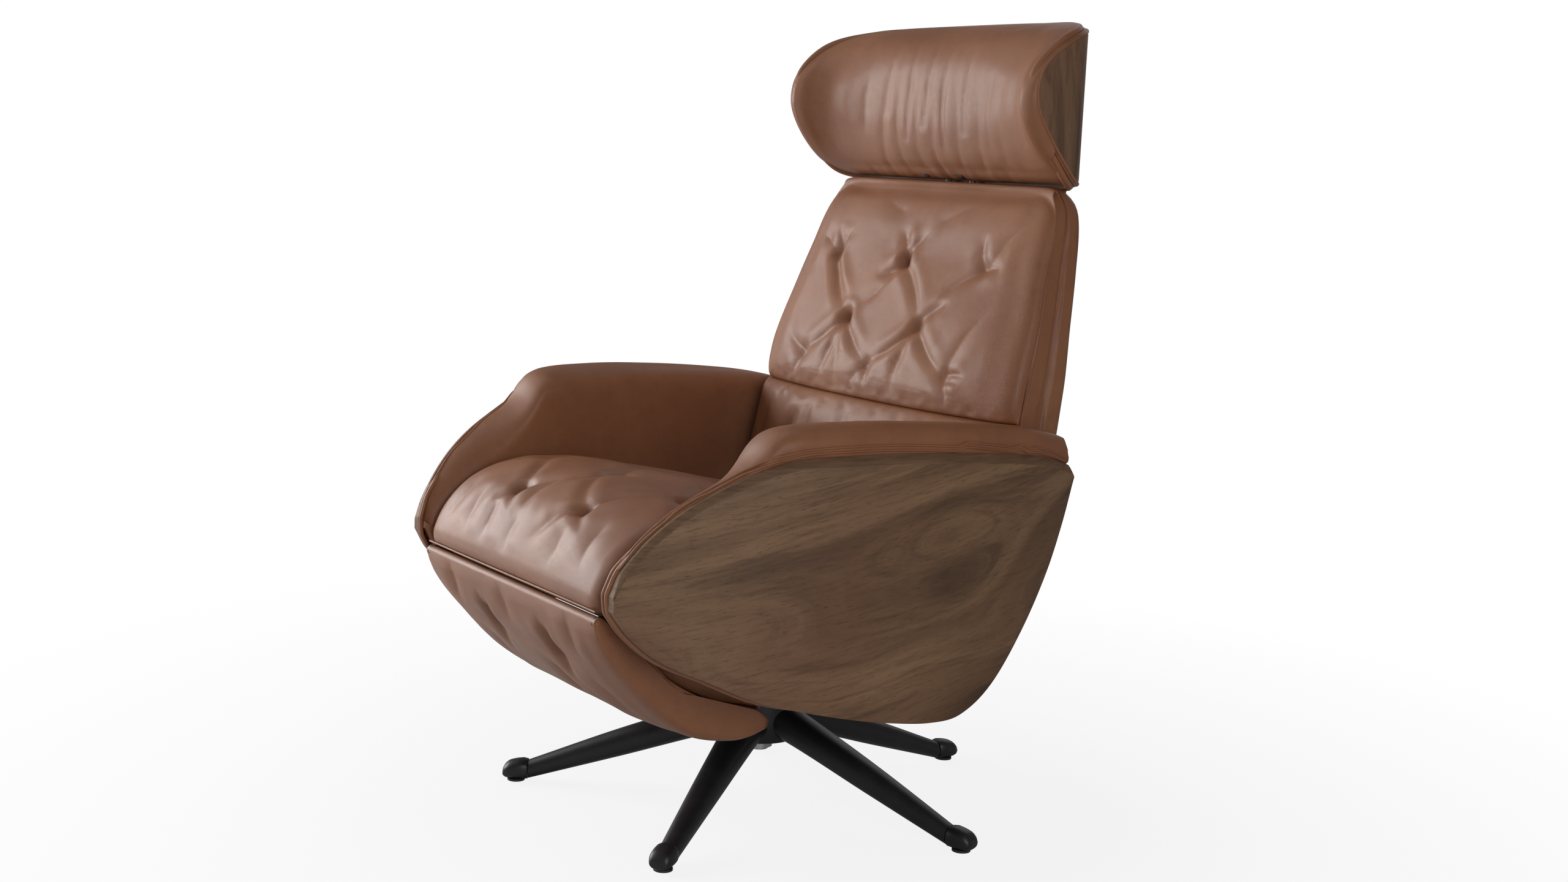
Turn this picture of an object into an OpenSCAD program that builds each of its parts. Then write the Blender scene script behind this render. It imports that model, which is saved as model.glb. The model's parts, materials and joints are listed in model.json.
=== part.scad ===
// Swivel recliner with a star base, walnut sides, tufted leather cushions,
// an integrated leg rest and a winged headrest.
// Millimetres. The origin is on the floor, on the swivel axis. The front faces -Y.

/* [Star base] */
// Distance from the swivel axis to each foot glide
foot_circle = 358; // [354:1:360]
// Diameter of the hub in the middle of the star
hub_d = 112; // [100:1:124]
// Height of the hub's underside
hub_low = 88; // [80:1:94]
// Height of the hub
hub_h = 72; // [66:1:74]
// Width of a leg where it leaves the hub
leg_w = 60; // [50:1:64]
// Width of a leg at its end
leg_tip_w = 29; // [24:1:31]
// Width of a foot cap
cap_w = 34; // [32:1:40]
// Length of a foot cap past the leg's end
cap_l = 38; // [34:1:44]
// Diameter of a foot glide
glide_d = 26; // [20:1:28]
// Thickness of a foot glide
glide_t = 3; // [2:0.5:4]

/* [Column and swivel] */
// Outer diameter of the column
column_d = 50; // [44:1:56]
// Height of the column's top
column_top = 190; // [184:1:192]
// Diameter of the spindle that turns in the column
spindle_d = 28; // [20:1:32]
// Thickness of the thrust bearing
bearing_t = 8; // [5:1:8]
// Underside of the swivel plate
plate_z = 206; // [204:1:212]
// Thickness of the swivel plate
plate_t = 8; // [6:1:10]

/* [Chassis] */
// Distance between the outer faces of the two side plates
chassis_w = 340; // [320:2:344]
// Thickness of a side plate
side_t = 6; // [4:0.5:8]
// Top edge of the side plates
chassis_top = 318; // [314:1:320]
// Diameter of the two cross tubes
tube_d = 24; // [18:1:28]
// Width of a slide rail
rail_w = 24; // [20:1:30]
// Height of a slide rail
rail_h = 14; // [12:1:15]
// Length of a slide rail
rail_l = 400; // [340:1:420]
// Travel of the seat, forwards
slide_travel = 40; // [20:1:44]

// Length of the swivel plate
swivel_l = 230; // [210:1:236]

/* [Side panels] */
// Half of the chair's width, at the widest place
half_w = 384; // [374:1:394]
// Radius of the sides, seen from above
side_r = 960; // [900:10:1200]
// Thickness of a walnut panel
panel_t = 14; // [12:1:18]
// Width of the slanting band along a panel's edge
bevel = 13; // [6:1:13]
// Height of a panel's top edge, where it is highest
panel_top = 566; // [556:1:576]
// Height of a panel's lowest point
panel_low = 207; // [200:1:212]
// Distance from the swivel axis to a panel's front end
panel_front = 424; // [415:1:430]
// Distance from the swivel axis to a panel's rear end
panel_rear = 277; // [270:1:290]

/* [Arm pads] */
// Height of the padding above the wood
arm_rise = 38; // [28:1:46]
// Thickness of an arm at its front
arm_w = 132; // [128:0.5:136]
// How much the arms open out, for each millimetre backwards
arm_splay = 0.1; // [0.09:0.005:0.11]
// Height of the padding's underside
arm_low = 300; // [296:1:310]

/* [Seat] */
// Height of the seat's crest at the front
seat_crest = 490; // [476:1:500]
// Underside of the seat cushion
seat_z = 360; // [359:1:366]
// Distance from the swivel axis to the seat's front
seat_front = 425; // [418:1:428]
// Distance from the swivel axis to the seat's rear end
seat_rear = 118; // [108:1:120]
// Gap between the seat and each arm
seat_gap = 6; // [5.5:0.5:10]
// Thickness of the seat's board
deck_t = 13.7; // [10:0.1:13.7]
// Distance between two tufts of a row in the seat
seat_tuft = 178; // [160:1:190]
// Depth of a tuft
tuft_depth = 20; // [8:1:24]

/* [Leg rest] */
// Distance from the swivel axis to the leg rest's hinge
lr_y = 417; // [414:1:419]
// Height of the leg rest's hinge
lr_z = 351; // [349:0.5:351]
// Gap between the leg rest's side and each arm, at the front
lr_gap = 14; // [12:0.5:24]
// Thickness of the leg rest's board
lr_board_t = 10; // [8:1:13]
// Diameter of the leg rest's hinge pins
lr_pin_d = 8; // [6:0.5:9]

/* [Back] */
// Distance from the swivel axis to the back's pivot
pivot_y = 150; // [146:1:156]
// Height of the back's pivot
pivot_z = 385; // [383:1:388]
// Diameter of the back's pivot pins
pivot_d = 12; // [8:0.5:14]
// Gap between the back and each arm, at the pivot
back_gap = 9; // [7:0.5:16]
// Lower edge of the back
back_low = 405.5; // [405:0.5:408]
// Upper edge of the back
back_top = 907.5; // [900:0.5:908]
// Height of the seam across the back
back_seam = 582; // [570:1:600]
// Thickness of the back's board
board_t = 12; // [9:1:12]
// Slope of the back's upper part, in degrees
back_rake = 16.1; // [15:0.1:17]
// Distance between two tufts of a row in the back
back_tuft = 172; // [155:1:185]

/* [Headrest] */
// Lower edge of the headrest
head_low = 909.5; // [909:0.5:914]
// Upper edge of the headrest
head_top = 1140; // [1120:1:1150]
// Half of the headrest's width, over its shell
head_half = 290; // [282:1:296]
// Thickness of the headrest's shell
shell_t = 12; // [8:1:14]
// Diameter of the headrest's posts
post_d = 10; // [8:0.5:12]
// Distance between the two posts
post_gap = 56; // [50:1:70]
// Height of the headrest posts' top above the board's bend, along the board
post_s = 350; // [346:1:352]
// Travel of the headrest, upwards
head_travel = 60; // [30:1:60]

/* [Clearances] */
// Running clearance of a pin or spindle in its bore, on the radius
run_fit = 0.05; // [0.03:0.01:0.08]
// Gap between a soft piece and its neighbour
soft_gap = 0.3; // [0.2:0.05:0.5]

/* [Hidden] */
$fn = 48;
leg_count = 5;
leg_turn = 360 / leg_count;
eps = 1;
leg_reach = foot_circle - 18;
arm_in = half_w - arm_w;
lr_half = arm_in - lr_gap;
back_half = arm_in + arm_splay * (pivot_y + 420) - back_gap;

// Segment of the curve p in which t lies
function seg(p, t, i = 0) = i >= len(p) - 2 || t <= p[i + 1][0] ? i : seg(p, t, i + 1);
// Slope of the curve p at its point i
function slope(p, i) = let (a = max(i - 1, 0), b = min(i + 1, len(p) - 1))
    (p[b][1] - p[a][1]) / (p[b][0] - p[a][0]);
// Smooth curve through the points p, at t
function curve(p, t) = let (i = seg(p, t), h = p[i + 1][0] - p[i][0],
    s = min(1, max(0, (t - p[i][0]) / h)))
    p[i][1] * (2 * s ^ 3 - 3 * s ^ 2 + 1) + h * slope(p, i) * (s ^ 3 - 2 * s ^ 2 + s)
    + p[i + 1][1] * (3 * s ^ 2 - 2 * s ^ 3) + h * slope(p, i + 1) * (s ^ 3 - s ^ 2);
// Middle of a list of points
function middle(r) = [for (k = [0:2]) [for (p = r) p[k]] * [for (p = r) 1] / len(r)];
// Soft hollow of depth d and width w at the distance s
function dent(s, w) = exp(-s * s / (w * w));

// Closed solid through rings with the same number of points
module loft(rings) {
    n = len(rings);
    m = len(rings[0]);
    pts = concat([for (r = rings) each r], [middle(rings[0]), middle(rings[n - 1])]);
    sides = [for (i = [0:n - 2], j = [0:m - 1]) let (a = i * m + j, b = i * m + (j + 1) % m)
        each [[a, b, b + m], [a, b + m, a + m]]];
    first = [for (j = [0:m - 1]) [n * m, (j + 1) % m, j]];
    last = [for (j = [0:m - 1]) [n * m + 1, (n - 1) * m + j, (n - 1) * m + (j + 1) % m]];
    polyhedron(pts, concat(sides, first, last), convexity = 8);
}

// Plate whose outline lies in the YZ plane, from x0 to x1
module yz_plate(x0, x1, outline) {
    translate([x0, 0, 0])
        rotate([90, 0, 90])
        linear_extrude(x1 - x0) polygon(outline);
}

// Rod along X, from x0 to x1
module rod_x(x0, x1, y, z, d) {
    translate([x0, y, z])
        rotate([0, 90, 0])
        cylinder(d = d, h = x1 - x0);
}

// The same thing on both sides of the chair
module both() {
    children();
    mirror([1, 0, 0]) children();
}

// Base and swivel column
hub_top = hub_low + hub_h;
metal = "#1c1c1e";
steel = "#b9bcc0";
leather = "#a8622f";
walnut = "#5a3926";

// Round slice of a leg, w wide, between the heights z0 and z1
module slice(r, w, z0, z1) {
    translate([0, -r, (z0 + z1) / 2])
        rotate([90, 0, 0])
        resize([w, z1 - z0, 2]) cylinder(d = 10, h = 2, center = true, $fn = 32);
}

module star_base() color(metal) difference() {
    union() {
        translate([0, 0, hub_low]) cylinder(d = hub_d, h = hub_h, $fn = 96);
        for (k = [0:leg_count - 1]) rotate(leg_turn / 2 + leg_turn * k)
            hull() {
                slice(hub_d / 2 - 16, leg_w, hub_low + 8, hub_top - 13);
                slice(leg_reach * 0.6, leg_w * 0.7, 45, 86);
                slice(leg_reach - 1, leg_tip_w, 4, 31);
            }
    }
    translate([0, 0, hub_low - eps])
        cylinder(d = column_d + 2 * run_fit, h = hub_h + 2 * eps, $fn = 96);
}

module foot_caps() color(metal) for (k = [0:leg_count - 1])
    rotate(leg_turn / 2 + leg_turn * k) intersection() {
        hull() {
            slice(leg_reach + 1, cap_w, glide_t - 2, 34);
            slice(leg_reach + cap_l * 0.72, cap_w - 3, glide_t - 2, 30);
            slice(leg_reach + cap_l - 1, cap_w - 14, glide_t + 3, 23);
        }
        translate([-cap_w, -leg_reach - cap_l - eps, glide_t])
            cube([2 * cap_w, cap_l + eps, 60]);
    }

module foot_glides() color("#3a3a3c") for (k = [0:leg_count - 1])
    rotate(leg_turn / 2 + leg_turn * k)
    translate([0, -foot_circle, 0]) cylinder(d = glide_d, h = glide_t);

spindle_bore = spindle_d + 2 * run_fit;

module column_tube() color(metal) difference() {
    translate([0, 0, hub_low - 6]) cylinder(d = column_d, h = column_top - hub_low + 6, $fn = 96);
    translate([0, 0, hub_low - 6 - eps])
        cylinder(d = spindle_bore, h = column_top - hub_low + 6 + 2 * eps, $fn = 96);
}

module thrust_bearing() color(steel) translate([0, 0, column_top]) difference() {
    cylinder(d = column_d - 2, h = bearing_t);
    translate([0, 0, -eps]) cylinder(d = spindle_d + 2, h = bearing_t + 2 * eps);
}

module column_shroud() color(metal) translate([0, 0, hub_top]) difference() {
    cylinder(d1 = column_d + 26, d2 = column_d + 16, h = column_top - hub_top - 4);
    translate([0, 0, -eps])
        cylinder(d = column_d + 2 * run_fit, h = column_top - hub_top + eps);
}

flange_z = column_top + bearing_t + run_fit;
spindle_low = hub_low - 20;

module swivel_spindle() color(steel) {
    translate([0, 0, spindle_low]) cylinder(d = spindle_d, h = plate_z - spindle_low, $fn = 96);
    translate([0, 0, flange_z]) cylinder(d = column_d + 40, h = plate_z - flange_z);
}

module spindle_clip() color(steel) translate([0, 0, spindle_low + 4]) difference() {
    cylinder(d = spindle_d + 12, h = 8);
    translate([0, 0, -eps]) cylinder(d = spindle_d, h = 8 + 2 * eps, $fn = 96);
}

// Frame that turns on the column
side_in = chassis_w / 2 - side_t;
side_out = chassis_w / 2;
plate_top = plate_z + plate_t;
front_tube = [-60, 262];
rear_tube = [120, 280];

module swivel_plate() color(metal) {
    translate([-side_in, 15 - swivel_l / 2, plate_z]) cube([2 * side_in, swivel_l, plate_t]);
    for (x = [-70, 70], y = [-70, 95]) translate([x, y, plate_top - eps]) cylinder(d = 17, h = 7);
}

// Lower and upper end of the apron's upper face
apron_a = [112, 252];
apron_b = [192, 326];
// Height of the apron's upper face at y
function apron_z(y) = apron_a[1]
    + (y - apron_a[0]) * (apron_b[1] - apron_a[1]) / (apron_b[0] - apron_a[0]);

side_outline = [[-100, plate_z], [100, plate_z], apron_a, [160, apron_z(160)],
    [160, chassis_top], [-290, chassis_top], [-290, chassis_top - 12], [-240, 275], [-140, 245]];

module side_plates() color(metal) both() difference() {
    yz_plate(side_in, side_out, side_outline);
    for (t = [front_tube, rear_tube])
        rod_x(side_in - eps, side_out + eps, t[0], t[1], tube_d + 2 * run_fit);
}

// Half of the chair's width at y
function width_at(y) = half_w - side_r + sqrt(side_r ^ 2 - (y + 10) ^ 2);
flange_t = 6;
// Outer face of the flange at a cross tube
function flange_x(t) = min(width_at(t[0] - 28), width_at(t[0] + 28)) - panel_t - soft_gap;

module cross_tubes() color(metal) for (t = [front_tube, rear_tube])
    rod_x(-flange_x(t) + flange_t, flange_x(t) - flange_t, t[0], t[1], tube_d);

module panel_flanges() color(metal) both() for (t = [front_tube, rear_tube])
    difference() {
        rod_x(flange_x(t) - flange_t, flange_x(t), t[0], t[1], 56);
        for (s = [-18, 18]) rod_x(flange_x(t) - 2 * flange_t, flange_x(t) + eps, t[0] + s, t[1], 6);
    }

module panel_screws() color(steel) both() for (t = [front_tube, rear_tube], s = [-18, 18]) {
    rod_x(flange_x(t) - flange_t, flange_x(t) + 9, t[0] + s, t[1], 6);
    rod_x(flange_x(t) - flange_t - 3, flange_x(t) - flange_t, t[0] + s, t[1], 10);
}

// Top and lower edges of a panel, seen from the side
panel_hi = [[-panel_front, panel_top - 172], [-panel_front + 12, panel_top - 140],
    [-372, panel_top - 90], [-319, panel_top - 50], [-250, panel_top - 17],
    [-204, panel_top - 4], [-120, panel_top], [-47, panel_top], [70, panel_top - 6],
    [184, panel_top - 17], [panel_rear - 8, panel_top - 37], [panel_rear, panel_top - 51]];
panel_lo = [[-panel_front, panel_low + 168], [-403, panel_low + 137],
    [-367, panel_low + 105], [-310, panel_low + 78], [-251, panel_low + 51],
    [-193, panel_low + 35], [-120, panel_low + 18], [-59, panel_low + 7],
    [9, panel_low - 1], [59, panel_low + 3], [115, panel_low + 36], [174, panel_low + 104],
    [224, panel_low + 180], [254, panel_low + 243], [panel_rear, panel_top - 55]];
panel_steps = [-panel_front, -420, -412, -395, -372, -345, -319, -285, -250, -204, -160,
    -120, -85, -47, 0, 40, 70, 100, 130, 160, 184, 210, 235, 256, 270, panel_rear];
// How far the bevel has run out near a panel's ends
function edge(y) = max(1, min(bevel, (y + panel_front) * 0.9 + 3, (panel_rear - y) * 0.9 + 2));

function panel_ring(y) = let (x = width_at(y), h = curve(panel_hi, y), l = curve(panel_lo, y),
    b = min(edge(y), (h - l) * 0.45))
    [[x - panel_t, y, l], [x, y, l], [x, y, h - b], [x - b + 0.5, y, h], [x - panel_t, y, h]];

module side_panel() color(walnut) difference() {
    loft([for (y = panel_steps) panel_ring(y)]);
    for (t = [front_tube, rear_tube], s = [-18, 18])
        rod_x(flange_x(t) - eps, flange_x(t) + 9.3, t[0] + s, t[1], 6.1);
}

module right_side_panel() side_panel();
module left_side_panel() mirror([1, 0, 0]) side_panel();

// Inner face of an arm at y
function arm_face(y) = arm_in + arm_splay * (y + 420);
// Height of the padding above the wood at y
function rise(y) = curve([[-panel_front, arm_rise * 0.1], [-400, arm_rise * 0.2],
    [-350, arm_rise * 0.3], [-300, arm_rise * 0.36], [-262, arm_rise * 0.45],
    [-235, arm_rise * 0.82], [-205, arm_rise * 0.98], [-50, arm_rise], [180, arm_rise],
    [270, arm_rise * 0.95]], y);
pad_steps = [-panel_front + 1, -421, -416, -408, -392, -370, -340, -305, -275, -252, -235, -215,
    -185, -130, -60, 20, 90, 150, 200, 235, 256, 268];
// Underside of the padding at y
function pad_low(y) = max(curve(panel_lo, y) + 8, y > -330 && y < 180 ? arm_low : 0);

// Section of the padding at y, from its inner foot round over the ridge
function pad_ring(y) = let (o = width_at(y) - panel_t - 2 * soft_gap, i = arm_face(y),
    h = curve(panel_hi, y), l = min(pad_low(y), h - 14), r = rise(y), w = o - i,
    q = min(26, (h + r - l) * 0.45), e = min(6, r * 0.3))
    [[o - 2, y, l], [o, y, (l + h) / 2], [o, y, h + 1], [o + e * 0.9, y, h + r * 0.2],
     [o + e, y, h + r * 0.45], [o + e * 0.5, y, h + r * 0.72], [o - w * 0.08, y, h + r * 0.93],
     [o - w * 0.24, y, h + r], [o - w * 0.46, y, h + r - q * 0.04],
     [o - w * 0.68, y, h + r - q * 0.16], [i + w * 0.14, y, h + r - q * 0.38],
     [i + w * 0.04, y, h + r - q * 0.66], [i, y, h + r - q], [i - 1.5, y, (l + h) / 2],
     [i, y, l + q * 0.5], [i + w * 0.08, y, l + q * 0.12], [i + w * 0.2, y, l]];

module arm_pad() color(leather) difference() {
    loft([for (y = pad_steps) pad_ring(y)]);
    for (t = [front_tube, rear_tube]) rod_x(arm_in - 40, half_w, t[0], t[1], 60);
}

module right_arm_pad() arm_pad();
module left_arm_pad() mirror([1, 0, 0]) arm_pad();

// Rails, rear apron and gas spring
rail_x = side_out + 6;
rail_front = -300;

module slide_rails() color(steel) both()
    translate([rail_x - rail_w, rail_front, chassis_top]) cube([rail_w, rail_l, rail_h]);

apron_half = arm_face(apron_a[0]) - 9;

module rear_apron() color("#2a2522")
    yz_plate(-apron_half, apron_half, [apron_a, apron_a + [8.3, -9], apron_b + [8.3, -9], apron_b]);

spring_z = 290;
spring_d = 26;
spring_l = 200;
spring_rear = 100;
rod_d = 10;

module gas_spring_cylinder() color(metal) {
    difference() {
        translate([0, spring_rear, spring_z]) rotate([90, 0, 0]) cylinder(d = spring_d, h = spring_l);
        translate([0, spring_rear - 6, spring_z])
            rotate([90, 0, 0]) cylinder(d = rod_d + 2 * run_fit, h = spring_l);
    }
    for (y = [-96, 70]) translate([-14, y, plate_top]) difference() {
        cube([28, 12, spring_z - plate_top + 8]);
        translate([14, -eps, spring_z - plate_top]) rotate([-90, 0, 0]) cylinder(d = 24, h = 20);
    }
}

// Seat
deck_z = seat_z - soft_gap - deck_t;
runner_z = chassis_top + rail_h + soft_gap;
// Half of the seat's width at y
function seat_half(y) = arm_face(y) - seat_gap - 0.0025 * (y + 420);

module slide_runners() color(steel) both() difference() {
    translate([rail_x - rail_w - 6, rail_front + 30, chassis_top + 3])
        cube([rail_w + 12, rail_l - 80, deck_z - chassis_top - 3]);
    translate([rail_x - rail_w - soft_gap, rail_front, chassis_top])
        cube([rail_w + 2 * soft_gap, rail_l, rail_h + soft_gap]);
}

deck_front = -lr_y + 30;
deck_rear = seat_rear - 13;
// Rear end of the leg rest's hinge plates
hinge_rear = -lr_y + 59;

module seat_deck() color("#c9a878") translate([0, 0, deck_z]) linear_extrude(deck_t)
    polygon([[-lr_half + 1, deck_front], [lr_half - 1, deck_front], [lr_half - 1, hinge_rear + 3],
        [seat_half(-300) - 8, -300], [seat_half(deck_rear) - 12, deck_rear],
        [-seat_half(deck_rear) + 12, deck_rear], [-seat_half(-300) + 8, -300],
        [-lr_half + 1, hinge_rear + 3]]);

rod_front = -210;

module gas_spring_rod() color(steel) {
    translate([0, 60, spring_z]) rotate([90, 0, 0]) cylinder(d = rod_d, h = 60 - rod_front);
    translate([-12, rod_front - 6, spring_z - 12]) cube([24, 6, deck_z - spring_z + 12]);
    translate([-12, rod_front - 30, deck_z - 5]) cube([24, 24, 5]);
}

// The leg rest hangs on two pins in plates on the seat board's sides
hinge_r = 8;
hinge_x = lr_half - 1;
hinge_t = 4;

module leg_rest_hinge_plates() color(metal) both() difference() {
    union() {
        yz_plate(hinge_x, hinge_x + hinge_t, [[-lr_y, lr_z - hinge_r], [hinge_rear, deck_z],
            [hinge_rear, seat_z - soft_gap], [-lr_y, seat_z - soft_gap - 0.5]]);
        rod_x(hinge_x, hinge_x + hinge_t, -lr_y, lr_z, 2 * hinge_r);
    }
    rod_x(hinge_x - eps, hinge_x + hinge_t + eps, -lr_y, lr_z, lr_pin_d);
}

ear_w = 7.5;

module leg_rest_pins() color(steel) both()
    rod_x(hinge_x - ear_w + 1, hinge_x + hinge_t + 2, -lr_y, lr_z, lr_pin_d);

// The back turns on two pins in brackets at the seat board's rear, beside the rails
bracket_gap = 15;
bracket_x = rail_x + 6 + bracket_gap;
bracket_t = 6;
pivot_r = 14;

module back_brackets() color(metal) both() difference() {
    union() {
        yz_plate(bracket_x, bracket_x + bracket_t, [[30, deck_z], [30, deck_z - 12],
            [112, deck_z - 12], [pivot_y + pivot_r, pivot_z - 8], [pivot_y, pivot_z],
            [pivot_y - 12, pivot_z - 4], [seat_rear + 4, seat_z + 4], [deck_rear + 4, deck_z + 8],
            [deck_rear + 2, deck_z]]);
        rod_x(bracket_x, bracket_x + bracket_t, pivot_y, pivot_z, 2 * pivot_r);
    }
    rod_x(bracket_x - eps, bracket_x + bracket_t + eps, pivot_y, pivot_z, pivot_d);
}

module back_pins() color(steel) both() {
    rod_x(bracket_x - 3, bracket_x + bracket_t + 9.5, pivot_y, pivot_z, pivot_d);
    rod_x(bracket_x - 3, bracket_x, pivot_y, pivot_z, pivot_d + 8);
}

// Crest line of the seat from its front seam to its rear end, at the side
seat_line = [[-seat_front + 155, seat_crest - 12], [-200, seat_crest - 24],
    [-130, seat_crest - 40], [-60, seat_crest - 53], [20, seat_crest - 68],
    [seat_rear - 14, seat_crest - 86]];
seat_rows = [[-339, 0.5], [-235, 1], [-130, 0.5], [-30, 1]];
seat_cols = 26;

// Point k of the seat's outline at the share u of its width, drawn in by e
function seat_edge(k, e) =
    k < 9 ? let (a = 90 * k / 9, f = seat_front - e, t = seat_crest - 12 - e)
        [-f + max(155 * (1 - cos(a)), k == 0 ? 5 : 0), seat_z + 3 + (t - seat_z - 3) * sin(a)]
    : k < 22 ? let (y = -seat_front + 155 + (seat_rear + seat_front - 172) * (k - 9) / 12)
        [y, curve(seat_line, y) - e]
    : k == 22 ? [seat_rear - 4 - e * 0.5, seat_crest - 98 - e * 0.5]
    : k == 23 ? [seat_rear - e * 0.5, seat_z + 12]
    : k == 24 ? [seat_rear - 6 - e * 0.5, seat_z]
    : k < 31 ? [seat_rear - 6 - (seat_rear + seat_front - 12) * (k - 24) / 7, seat_z]
    : [-seat_front + 13 + e, seat_z];

// How far the tufts pull the leather in at x, y
function seat_pull(x, y) = max([for (r = seat_rows) let (s = round(x / seat_tuft - r[1]) + r[1])
    max(dent(norm([x - s * seat_tuft, y - r[0]]), 26),
        0.28 * dent(x - s * seat_tuft, 15) * dent(min(0, y - r[0] + 20), 46)
            * dent(max(0, y - r[0]), 14))]);

// Section of the seat at the share u of its width
function seat_ring(u) = let (a = abs(u), e = 16 * (1 - sqrt(1 - max(0, (a - 0.9) / 0.1) ^ 2)),
    c = 13 * (1 - a ^ 2.5)) [for (k = [0:31]) let (p = seat_edge(k, e), x = u * seat_half(p[0]),
        n = k < 9 ? [-cos(10 * k), sin(10 * k)] : [0, 1], top = k > 1 && k < 22 ? 1 : 0,
        d = top * (c * min(1, k / 5) - tuft_depth * (1 - a ^ 8) * seat_pull(x, p[0] + (k < 9 ? 6 : 0))))
        [x * (k > 23 ? 1 - 0.004 * a : 1), p[0] + n[0] * d, p[1] + n[1] * d]];

// Stations run close together at the sides
function station(i, n) = let (t = 2 * i / n - 1) sign(t) * (1 - (1 - abs(t)) ^ 1.25);

module seat_cushion() color(leather)
    loft([for (i = [0:seat_cols]) seat_ring(station(i, seat_cols))]);

// Leg rest
// Outer and inner line of the leg rest, tucked under the seat, from its hinge round to its tail
lr_inner = [[-lr_y + 17, lr_z - 1], [-355, 325], [-309, 278], [-236, 238], [-175, 222],
    [-160, 214]];
lr_outer = [[-159, 193], [-166, 178], [-193, 168], [-229, 171], [-266, 182], [-304, 203],
    [-342, 234], [-375, 266], [-402, 297], [-417, 320], [-424, 337]];
// Direction square to the inner line at its point i, outwards
function lr_normal(i) = let (p = lr_inner[max(i - 1, 0)], q = lr_inner[min(i + 1, len(lr_inner) - 1)],
    d = (q - p) / norm(q - p)) [d[1], -d[0]];
lr_board_out = [for (i = [len(lr_inner) - 1:-1:0]) lr_inner[i] + lr_board_t * lr_normal(i)];
lr_skin = [for (i = [0:len(lr_inner) - 1]) lr_inner[i] + (lr_board_t + 2 * soft_gap) * lr_normal(i)];

// Direction from the board's upper edge to the hinge
lr_dir = (lr_inner[0] - lr_inner[1]) / norm(lr_inner[0] - lr_inner[1]);

module leg_rest_board() color("#c9a878") difference() {
    union() {
        yz_plate(-lr_half + 2, lr_half - 2, concat([for (i = [1:5]) lr_inner[i]],
            [for (i = [0:4]) lr_board_out[i]]));
        both() {
            rod_x(hinge_x - ear_w, hinge_x - 0.5, -lr_y, lr_z, 2 * hinge_r);
            yz_plate(hinge_x - ear_w, hinge_x - 0.5, [[-lr_y, lr_z - hinge_r], [-lr_y, lr_z + hinge_r],
                lr_inner[0] + [-4, 5], lr_inner[1], lr_board_out[len(lr_inner) - 2]]);
        }
    }
    rod_x(-half_w, half_w, -lr_y, lr_z, lr_pin_d + 2 * run_fit);
}

lr_tufts = [[-398, 277, 0.5], [-318, 206, 1]];
lr_cols = 20;

function lr_pull(x, p) = max([for (r = lr_tufts) let (s = round(x / seat_tuft - r[2]) + r[2])
    dent(norm([x - s * seat_tuft, p[0] - r[0], p[1] - r[1]]), 24)]);

// Section of the leg rest's cushion at the share u of its width
function lr_ring(u) = let (a = abs(u), m = len(lr_outer),
    e = 15 * (1 - sqrt(1 - max(0, (a - 0.9) / 0.1) ^ 2)), x = u * (lr_half - ear_w - 1.5))
    concat([for (i = [0:m - 1]) let (p = lr_outer[i], q = lr_outer[min(i + 1, m - 1)],
        o = lr_outer[max(i - 1, 0)], t = (q - o) / norm(q - o), n = [-abs(t[1]), -abs(t[0])],
        w = min(1, i / 3, (m - 1 - i) / 3), d = w * 6 * (1 - a ^ 2.5) - e * min(1, 0.3 + w)
            - 15 * w * (1 - a ^ 8) * lr_pull(x, p))
        [x, p[0] + n[0] * d, p[1] + n[1] * d]],
        [for (g = [180, 135, 90, 45, 0]) [x, -lr_y + hinge_r * cos(g), lr_z + hinge_r * sin(g)]],
        [for (p = concat([lr_inner[1] + soft_gap * lr_dir, lr_skin[1] + soft_gap * lr_dir],
            [for (i = [1:5]) lr_skin[i]])) [x, p[0], p[1]]]);

module leg_rest_cushion() color(leather)
    loft([for (i = [0:lr_cols]) lr_ring(station(i, lr_cols))]);

// Back
up = [sin(back_rake), cos(back_rake)];
out = [cos(back_rake), -sin(back_rake)];
board_low = [pivot_y + 55, back_low + 6];
board_bend = [pivot_y + 65, back_seam + 3];
board_end = board_bend + (back_top - 17 - board_bend[1]) / up[1] * up;
board_half = back_half - 34;

// Outline of the back's board, grown by g
function board_outline(g) = let (t = board_t / 2 + g) [board_low + [-t, -g], board_low + [t, -g],
    board_bend + t * out, board_end + t * out + g * up, board_end - t * out + g * up,
    board_bend - t * out];

// Front outline of the board: it narrows upwards as the back does
module board_body(g) intersection() {
    yz_plate(-board_half - g, board_half + g, board_outline(g));
    translate([0, 500, 0]) rotate([90, 0, 0]) linear_extrude(500) polygon([
        for (z = [back_low - 5, 600, 650, 720, 790, 870, back_top + 5])
            [back_half_at(z) - back_half + board_half + g, z],
        for (z = [back_top + 5, 870, 790, 720, 650, 600, back_low - 5])
            [-(back_half_at(z) - back_half + board_half + g), z]]);
}

module back_board() color("#c9a878") difference() {
    board_body(0);
    for (x = [-120, 120], z = [480, 700]) translate([x, pivot_y, z]) rotate([-90, 0, 0])
        cylinder(d = 60, h = 300);
}

lug_x = bracket_x + bracket_t + 1;
lug_t = 8;

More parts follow.
